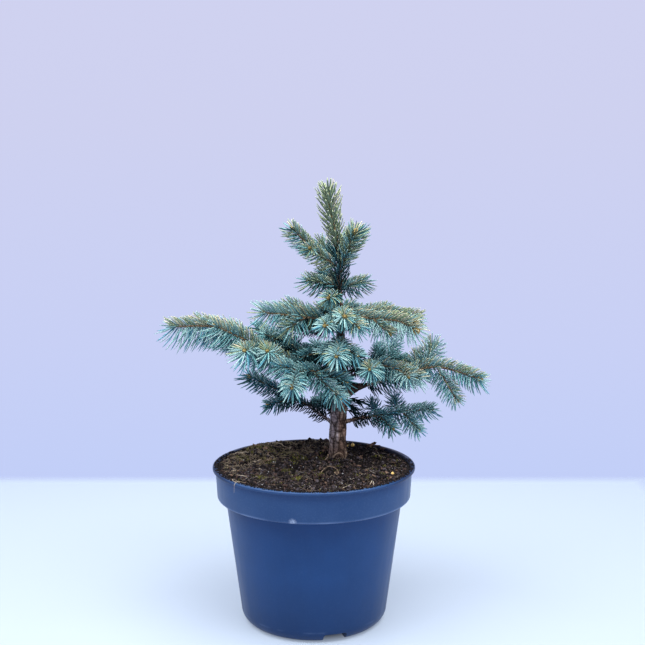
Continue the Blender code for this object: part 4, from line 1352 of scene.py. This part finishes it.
# How many crumbs lie on the pot's lip, and those on the soil: name, how many, their usual size in millimetres,
# and their dark and light colours.
LIP_CRUMBS = 760
CRUMBS = (
    ("crumbs_black", 2000, 1.05, (0.004, 0.003, 0.004), (0.021, 0.017, 0.019)),
    ("crumbs_grey", 2200, 0.80, (0.017, 0.014, 0.017), (0.090, 0.078, 0.090)),
    ("crumbs_brown", 1500, 0.85, (0.020, 0.013, 0.011), (0.090, 0.058, 0.052)),
)


def on_lip(draw, count):
    """Places on the top of the pot's lip, from its left over its front to its right."""
    turn = np.radians(draw.uniform(150, 372, count))
    reach = draw.uniform(BAND_RADIUS - WALL, RIM_RADIUS - LIP - 0.4 * MM, count)
    return np.stack([reach * np.cos(turn), reach * np.sin(turn), np.full(count, POT_HEIGHT)], axis=1)


def make_crumbs():
    """Crumbs of peat and bark, black, grey and red-brown, close together over the soil."""
    draw = np.random.default_rng(SEED + 1)
    for name, count, size, dark, light in CRUMBS:
        places = on_soil(draw, count)
        sizes = draw.lognormal(math.log(size), 0.42, len(places)).clip(0.4, 2.8) * MM
        stretch = draw.uniform(0.5, 1.3, (len(places), 3))
        places[:, 2] += draw.uniform(-0.2, 0.8, len(places)) * sizes
        if name == "crumbs_black":
            places = np.concatenate([places, on_lip(draw, LIP_CRUMBS)])
            sizes = np.concatenate([sizes, draw.uniform(0.5, 1.1, LIP_CRUMBS) * MM])
            stretch = np.concatenate([stretch, draw.uniform(0.5, 1.3, (LIP_CRUMBS, 3))])
        crumb = speckled_material(name, dark, light, 330.0, 0.95)
        finish_piece(lumps(name, places, sizes, stretch, draw), [crumb])


# Places on the soil, in millimetres. A bead and a patch of moss have their radius too, and a chip its height
# above the soil's level and its size.
LARGE_GRAINS = ((3, 29), (41, 98), (-46, 12), (-50, -22), (-12, -2), (30, -18), (-88, 24), (64, -66))
RIM_CHIPS = ((70, 81, 5.5, 4.6), (76, 78, 4.6, 3.6), (64, 84, 4.0, 3.2), (82, 68, 3.4, 3.4))
BEADS = ((46, 79, 2.3), (40, 80, 1.1), (87, -27, 1.8), (-62, 12, 1.0))
MOSS = ((-34, 46, 19), (-16, 33, 14), (-75, 66, 20), (-60, 82, 17), (-48, 60, 14), (-31, -10, 9),
        (-17, -49, 9), (-80, 28, 13), (-52, 20, 10), (6, -30, 7))


def make_grit():
    """Pale grains of perlite, and a few larger ones in their own places."""
    draw = np.random.default_rng(SEED + 2)
    places = on_soil(draw, 110) + 0.6 * MM * UP
    sizes = draw.uniform(0.3, 0.8, len(places)) * MM
    larger = np.array([soil_point(x * MM, y * MM, MM) for x, y in LARGE_GRAINS])
    places = np.concatenate([places, larger])
    sizes = np.concatenate([sizes, np.full(len(larger), 0.9 * MM)])
    stretch = draw.uniform(0.7, 1.2, (len(places), 3))
    pale = speckled_material("pale_grit", (0.22, 0.22, 0.23), (0.52, 0.53, 0.56), 500.0, 0.8)
    finish_piece(lumps("white_grit", places, sizes, stretch, draw), [pale])


def make_chips():
    """Flat chips of bark in the soil, and a few dark ones that lean on the rim at the back."""
    draw = np.random.default_rng(SEED + 3)
    places = on_soil(draw, 110) + 0.8 * MM * UP
    sizes = draw.uniform(1.4, 3.4, len(places)) * MM
    places = np.concatenate([places, above_soil([chip[:3] for chip in RIM_CHIPS])])
    sizes = np.concatenate([sizes, np.array(RIM_CHIPS)[:, 3] * MM])
    count = len(places)
    flat = ((1.0, 1.6), (0.4, 0.8), (0.15, 0.35))
    stretch = np.stack([draw.uniform(low, high, count) for low, high in flat], axis=1)
    finish = speckled_material("chip_bark", (0.030, 0.018, 0.012), (0.200, 0.130, 0.095), 160.0, 0.9)
    finish_piece(lumps("bark_chips", places, sizes, stretch, draw), [finish])


def make_beads():
    """Round yellow feed beads in the soil."""
    beads = Tubes()
    for x, y, size in BEADS:
        radius = size * MM
        place = np.array(soil_point(x * MM, y * MM, -0.3 * MM))
        beads.add(bud_rings(place, UP, 2 * radius, radius), (UP * 0.05 * MM, UP * 0.1 * MM))
    finish = speckled_material("feed_beads", (0.55, 0.33, 0.07), (0.80, 0.60, 0.24), 300.0, 0.4)
    finish_piece(beads.build("feed_beads"), [finish])


def make_moss():
    """Patches of moss, thin at their edges."""
    draw = np.random.default_rng(SEED + 5)
    places = on_soil(draw, 30000)
    cover = np.zeros(len(places))
    for x, y, radius in MOSS:
        apart = np.hypot(places[:, 0] - x * MM, places[:, 1] - y * MM) / (radius * MM)
        cover = np.maximum(cover, 1 - apart)
    patch = np.array([noise.fractal(Vector((x, y, 4.0)) * 60, 0.8, 2.0, 3) for x, y, _ in places])
    places = places[cover + 0.5 * patch + draw.normal(0, 0.10, len(places)) > 0.30]
    count = len(places)
    start = unit(draw.normal(0, 0.55, (count, 3)) + UP)
    end = unit(start + draw.normal(0, 0.5, (count, 3)))
    across = unit(np.cross(start, (0.3, 0.9, 0.1)))
    length = draw.uniform(1.2, 3.0, count) * MM
    width = draw.uniform(0.3, 0.6, count) * MM
    tufts = Needles()
    tufts.add(places - 0.4 * MM * UP, start, end, across, length, width, width * 0.6)
    finish = speckled_material("moss", (0.036, 0.040, 0.008), (0.190, 0.185, 0.038), 160.0, 0.9)
    for obj in tufts.build("moss", shaded=False):
        finish_piece(obj, [finish])


def lying(x, y, turn, length, bow, lift):
    """A stalk's line over the soil, in metres and radians. It bows sideways and stands up a little."""
    line = []
    for share in np.linspace(0, 1, 8):
        angle = turn + bow * share
        reach = share * length
        above = 0.7 * MM + lift * math.sin(math.pi * share)
        line.append(soil_point(x + reach * math.cos(angle), y + reach * math.sin(angle), above))
    return np.array(line)


def add_stalk(stalks, line, radius, sides=4):
    radii = np.interp(np.linspace(0, 1, len(line)), (0, 0.3, 1), (0.7, 1.0, 0.4)) * radius
    stalks.add_line(line, radii, sides, (-0.1 * MM, 0.1 * MM))


# Fibres: name, how many, thickness, whether they lie at the back left only, and dark and light colours.
FIBRES = (
    ("fibres_pale", 125, 0.18 * MM, False, (0.13, 0.105, 0.08), (0.38, 0.335, 0.28)),
    ("fibres_brown", 420, 0.24 * MM, False, (0.030, 0.023, 0.019), (0.115, 0.088, 0.068)),
    ("thatch", 1900, 0.34 * MM, True, (0.062, 0.050, 0.036), (0.300, 0.245, 0.175)),
)


def make_fibres():
    """Fine dry roots all over the soil, and a thatch of dead needles and stalks at the back left."""
    draw = np.random.default_rng(SEED + 6)
    edge = soil_radius()
    for name, count, thickness, region, dark, light in FIBRES:
        stalks = Tubes()
        for x, y, _ in on_soil(draw, count, 0.95):
            if region and (x * 0.64 - y * 0.77) / edge > -0.42 + draw.normal(0, 0.10):
                continue
            length = draw.uniform(4, 13) * MM
            turn, bow, lift = draw.uniform(0, math.tau), draw.uniform(-0.9, 0.9), draw.uniform(0.0, 1.6) * MM
            line = lying(x, y, turn, length, bow, lift)
            if np.hypot(line[:, 0], line[:, 1]).max() < edge:
                add_stalk(stalks, line, thickness * draw.uniform(0.7, 1.2))
        finish_piece(stalks.build(name), [speckled_material(name, dark, light, 90.0, 0.85)])


# A stalk: its place, turn, length, sideways bow, how high it stands in the middle, and its radius. Lengths are
# in millimetres and the turn is in degrees.
STALKS = (
    (-56, 88, -27, 30, 0.1, 1.5, 0.42),
    (68, 55, -67, 28, 0.15, 1.2, 0.36),
    (74, 58, -75, 22, -0.2, 1.0, 0.30),
    (60, -72, 62, 15, 0.35, 2.6, 0.34),
    (64, -74, 100, 9, -0.3, 2.0, 0.28),
    (-86, -40, -60, 18, 0.5, 2.0, 0.30),
    (-30, 70, 75, 11, 0.2, 1.6, 0.34),
    (-96, 40, 20, 22, -0.3, 1.4, 0.34),
    (28, -82, 20, 17, 0.4, 1.6, 0.30),
    (-70, 20, 10, 16, 0.3, 1.2, 0.30),
)
# Points of the stalks that hang over the rim, and of the surface roots with their radius.
HANGING = (
    ((-72, -66, 1), (-79, -73, 4.6), (-82.2, -77.2, 4.4), (-83.4, -78.8, 1.5), (-83.6, -79.2, -6)),
    ((-80, -60, 1), (-86, -68, 5.4), (-84, -74, 5.2), (-78, -76, 4.4)),
)
SURFACE_ROOTS = (
    (((21, 27, 1.5), (23.5, 25.6, 6.5), (27.5, 25.2, 9.2), (31.5, 25.8, 8.4),
      (33.4, 26.6, 5), (32, 26.0, 1.5)), 0.8),
    (((36.4, 29.6, 13), (37.0, 28.2, 8), (36.2, 26.8, 4), (34.5, 25.8, 0.5)), 0.7),
    (((16.4, 31, 6), (15.2, 27.5, 3.5), (12, 22, 1)), 0.9),
    (((7, -29, 0), (10, -25, 3.2), (15, -17, 5), (20, -15, 4.6), (25, -22, 3.8), (27, -30, 2.4),
      (25.5, -35, 1.4), (23, -33, 3), (25, -28, 2.2)), 0.45),
)


def make_stalks():
    """The larger stalks and roots, each in its own place, and two that hang over the rim."""
    stalks = Tubes()
    for x, y, turn, length, bow, lift, radius in STALKS:
        line = lying(x * MM, y * MM, math.radians(turn), length * MM, bow, lift * MM)
        add_stalk(stalks, line, radius * MM, 6)
    for line in HANGING:
        add_stalk(stalks, np.concatenate(curve_spans(above_soil(line))), 0.26 * MM, 6)
    finish = speckled_material("dry_stalks", (0.26, 0.20, 0.14), (0.60, 0.53, 0.42), 90.0, 0.8)
    finish_piece(stalks.build("dry_stalks"), [finish])


def make_surface_roots():
    """Pale brown roots that curl at the trunk's foot and come up from the soil in front of it."""
    roots = Tubes()
    for line, radius in SURFACE_ROOTS:
        points = evenly(np.concatenate(curve_spans(above_soil(line))), 0.8 * MM)
        roots.add_line(points, np.full(len(points), radius * MM), 8, (0.3 * MM, 0.3 * MM), peg_relief)
    finish = speckled_material("root_bark", (0.060, 0.040, 0.028), (0.270, 0.200, 0.140), 260.0, 0.8)
    finish_piece(roots.build("surface_roots"), [finish])


# Pot.

def arc(centre, radius, first, last, steps):
    """Points of an arc as (radius, height), from one angle to another in degrees."""
    turns = [math.radians(first + (last - first) * step / steps) for step in range(steps + 1)]
    return [(centre[0] + radius * math.cos(turn), centre[1] + radius * math.sin(turn)) for turn in turns]


def pot_profile():
    """Up the inside, over the lip, down the outside and in under the foot."""
    lip_foot = POT_HEIGHT - LIP_HEIGHT
    lip = arc((BAND_RADIUS - WALL + LIP, POT_HEIGHT - LIP), LIP, 180, 90, 3)
    lip += arc((RIM_RADIUS - LIP, POT_HEIGHT - LIP), LIP, 90, 0, 4)
    lip += arc((RIM_RADIUS - LIP / 2, lip_foot + LIP / 2), LIP / 2, 0, -90, 3)
    lip += [(BAND_RADIUS + LIP / 2, lip_foot), (BAND_RADIUS, lip_foot - LIP / 2)]
    low = BAND_ROUND * 0.8
    band = [(BAND_RADIUS - 0.2 * MM, POT_HEIGHT - 12 * MM)]
    band += arc((BAND_RADIUS - BAND_TAPER - BAND_ROUND, BAND_FOOT + low), low, 0, -90, 5)
    ledge = arc((WALL_TOP_RADIUS + 1.5 * MM, BAND_FOOT - LEDGE_SLOPE), 1.5 * MM, 90, 180, 3)
    wall = [(WALL_TOP_RADIUS, BAND_FOOT - 6 * MM)]
    inside = [(0.0, FLOOR), (FOOT_RADIUS, FLOOR), (WALL_FOOT_RADIUS - WALL, FLOOR + FLOOR_FILLET),
              (WALL_TOP_RADIUS - WALL, BAND_FOOT - LEDGE_SLOPE + WALL), (BAND_INNER_FOOT, BAND_FOOT + WALL)]
    reach = WALL_FOOT_RADIUS - FOOT_RADIUS
    turns = [math.radians(90 * step / 6) for step in range(7)]
    corner = [(FOOT_RADIUS + reach * math.cos(turn), CORNER_HEIGHT * (1 - math.sin(turn))) for turn in turns]
    return inside + lip + band + ledge + wall + corner + [(0.0, 0.0)]


def prism(name, lower, upper):
    """A body between two outlines of as many points."""
    count = len(lower)
    faces = [tuple(reversed(range(count))), tuple(range(count, 2 * count))]
    faces += [(i, (i + 1) % count, count + (i + 1) % count, count + i) for i in range(count)]
    mesh = bpy.data.meshes.new(name)
    mesh.from_pydata(lower + upper, [], faces)
    return add_object(name, mesh)


def make_pot(plastic, inner):
    mesh = bpy.data.meshes.new("pot_body")
    work = bmesh.new()
    profile = [work.verts.new((radius, 0, height)) for radius, height in pot_profile()]
    edges = [work.edges.new(pair) for pair in zip(profile[:-1], profile[1:])]
    bmesh.ops.spin(work, geom=profile + edges, cent=(0, 0, 0), axis=(0, 0, 1), angle=math.tau,
                   steps=POT_STEPS, use_merge=True)
    bmesh.ops.remove_doubles(work, verts=work.verts, dist=1e-6)
    bmesh.ops.recalc_face_normals(work, faces=work.faces)
    work.to_mesh(mesh)
    work.free()
    pot = add_object("pot_body", mesh)
    cutters = []
    for number in range(NOTCHES):
        turn = math.radians(NOTCH_TURN + 360 / NOTCHES * number)
        cutters += [notch_cutter(number, turn), drain_cutter(number, turn)]
    for one in cutters:
        change = pot.modifiers.new("cut", "BOOLEAN")
        change.operation = "DIFFERENCE"
        change.solver = "EXACT"
        change.object = one
    bpy.context.view_layer.update()
    graph = bpy.context.evaluated_depsgraph_get()
    cut = bpy.data.meshes.new_from_object(pot.evaluated_get(graph), depsgraph=graph)
    pot.modifiers.clear()
    pot.data = cut
    for one in cutters:
        bpy.data.objects.remove(one, do_unlink=True)
    cut.shade_smooth()
    cut.set_sharp_from_angle(angle=math.radians(38))
    cut.materials.clear()
    for face in cut.polygons:
        x, y, z = face.center
        outer = WALL_TOP_RADIUS if z < BAND_FOOT else BAND_RADIUS - LIP
        inward = face.normal.x * x + face.normal.y * y < 0 and math.hypot(x, y) < outer
        face.material_index = int(z > FLOOR - MM and inward)
    finish_piece(pot, [plastic, inner], ["pot"])


def notch_cutter(number, turn):
    """A notch with rounded upper corners, cut from outside towards the middle."""
    half, high, fillet = NOTCH_WIDTH / 2, NOTCH_HEIGHT, NOTCH_FILLET
    outline = [(half, -5 * MM)] + arc((half - fillet, high - fillet), fillet, 0, 90, 4)
    outline += arc((-half + fillet, high - fillet), fillet, 90, 180, 4) + [(-half, -5 * MM)]
    outward = Vector((math.cos(turn), math.sin(turn), 0))
    sideways = Vector((-math.sin(turn), math.cos(turn), 0))

    def section(reach):
        return [outward * reach + sideways * across + Vector((0, 0, height)) for across, height in outline]

    return prism(f"notch_cutter_{number}", section(NOTCH_INNER_RADIUS), section(RIM_RADIUS))


def drain_cutter(number, turn):
    """A round hole through the pot's floor."""
    middle = Vector((math.cos(turn), math.sin(turn), 0)) * DRAIN_PLACE
    angles = [math.tau * step / DRAIN_SIDES for step in range(DRAIN_SIDES)]
    circle = [(DRAIN_RADIUS * math.cos(angle), DRAIN_RADIUS * math.sin(angle)) for angle in angles]

    def section(height):
        return [middle + Vector((x, y, height)) for x, y in circle]

    return prism(f"drain_cutter_{number}", section(-10 * MM), section(2 * FLOOR))


# Tree.

def grow_tree():
    branches = [Branch(name, *row) for name, row in BRANCHES.items()]
    leader = leader_points()
    space = Space(branches, leader)
    grow_twigs(branches, space)
    store = {tint: Needles() for tint in TINTS}
    twigs, buds, scales = Tubes(), Tubes(), Needles()
    for index, branch in enumerate(branches):
        draw = np.random.default_rng([SEED, index])
        for number, line in enumerate(branch.shoots):
            root = branch.radius * (LIMB_TAPER if branch.limb is not None else 1.0)
            first, last = (max(root, SIDE_ROOT), STEM_TIP) if number == 0 else (SIDE_ROOT, SIDE_TIP)
            radii = first + (last - first) * shares(line) ** 0.7
            grow_shoot(store, twigs, branch.name, number, line, radii, space, draw)
            planned = number <= len(BRANCHES[branch.name][3])
            grow_buds(buds, scales, branch.name, line, number == 0, planned, draw)
        if branch.limb is not None:
            grow_limb_needles(store, branch, space, draw)
    draw = np.random.default_rng([SEED, len(branches)])
    grow_trunk_needles(store, twigs, space, draw)
    radii = LEADER_ROOT + (LEADER_TIP - LEADER_ROOT) * shares(leader)
    grow_shoot(store, twigs, "leader", 0, leader, radii, space, draw)
    grow_buds(buds, scales, "leader", leader, True, True, draw)
    return branches, store, twigs, buds, scales


def make_tree():
    branches, store, twigs, buds, scales = grow_tree()
    masses = ["needles_" + name for name in (*BRANCHES, "leader")]
    for tint, (body, outer) in TINTS.items():
        back = [share * part for share, part in zip(BACK_SHADE, body)]
        finishes = [needle_material(f"needle_{tint}_{side}", colour)
                    for side, colour in (("front", body), ("outer", outer), ("back", back))]
        for obj in store[tint].build("needles_" + tint):
            finish_piece(obj, finishes, masses)
    bark, twig = bark_material(), twig_material()
    finish_piece(twigs.build("twigs"), [twig], masses)
    bud = bud_material()
    finish_piece(buds.build("buds"), [bud])
    for obj in scales.build("bud_scales", shaded=False):
        finish_piece(obj, [bud])
    make_trunk(bark)
    make_boughs(branches, bark)
    make_pegs(branches, bark)


# Stage.

def make_floor():
    """A plain pale floor that fades into the background. It glows a little, so that shadows are faint."""
    mesh = bpy.data.meshes.new("floor")
    corners = [(x * FLOOR_SIDE, y * FLOOR_SIDE, 0) for x, y in ((-1, -1), (1, -1), (1, 1), (-1, 1))]
    mesh.from_pydata(corners, [], [(0, 1, 2, 3)])
    floor = add_object("floor", mesh)
    made, tree, shader = new_material("pale_floor", 0.6)
    shader.inputs["Base Color"].default_value = (0.280, 0.336, 0.415, 1.0)
    shader.inputs["Emission Color"].default_value = (0.71, 0.83, 1.0, 1.0)
    axes = add_node(tree, "ShaderNodeSeparateXYZ", {"Vector": object_coordinates(tree)}).outputs
    far = maths(tree, "MAXIMUM", maths(tree, "ABSOLUTE", axes["X"]), maths(tree, "ABSOLUTE", axes["Y"]))
    radius = maths(tree, "LENGTH", object_coordinates(tree), kind="ShaderNodeVectorMath")
    glow = remap(tree, radius, FOOT_RADIUS - 12 * MM, FOOT_RADIUS + 6 * MM, 0.0, FLOOR_GLOW)
    tree.links.new(glow, shader.inputs["Emission Strength"])
    tree.links.new(remap(tree, far, *FLOOR_FADE, 1.0, 0.0), shader.inputs["Alpha"])
    mesh.materials.append(made)


def area_light(name, energy, size, place, aim, colour):
    data = bpy.data.lights.new(name, "AREA")
    data.shape = "DISK"
    data.energy = energy
    data.size = size
    data.color = colour
    light = add_object(name, data)
    light.location = place
    light.rotation_euler = (Vector(aim) - Vector(place)).to_track_quat("-Z", "Y").to_euler()


def make_light():
    world = bpy.data.worlds.new("pale")
    world.use_nodes = True
    tree = world.node_tree
    place = add_node(tree, "ShaderNodeTexCoord").outputs["Generated"]
    rise = add_node(tree, "ShaderNodeSeparateXYZ", {"Vector": place}).outputs["Z"]
    shades = [((height + 1) / 2, colour) for height, colour in WORLD]
    colour = ramp(tree, remap(tree, rise, -1.0, 1.0), shades)
    background = tree.nodes["Background"]
    tree.links.new(colour, background.inputs["Color"])
    bpy.context.scene.world = world
    for row in LIGHTS:
        area_light(*row)
    bpy.context.scene.view_settings.view_transform = "Standard"
    bpy.context.scene.view_settings.look = "None"


def make_camera():
    """The photograph's view."""
    data = bpy.data.cameras.new("camera")
    data.lens = CAMERA_LENS
    data.sensor_width = CAMERA_SENSOR
    camera = add_object("camera", data)
    camera.location = CAMERA_PLACE
    camera.rotation_euler = (math.pi / 2 - CAMERA_DIP, 0, 0)
    bpy.context.scene.camera = camera


make_camera()
make_light()
make_floor()
make_tree()
make_pot(pot_material(), inner_pot_material())
make_soil(soil_material())
make_crumbs()
make_grit()
make_chips()
make_beads()
make_moss()
make_fibres()
make_stalks()
make_surface_roots()
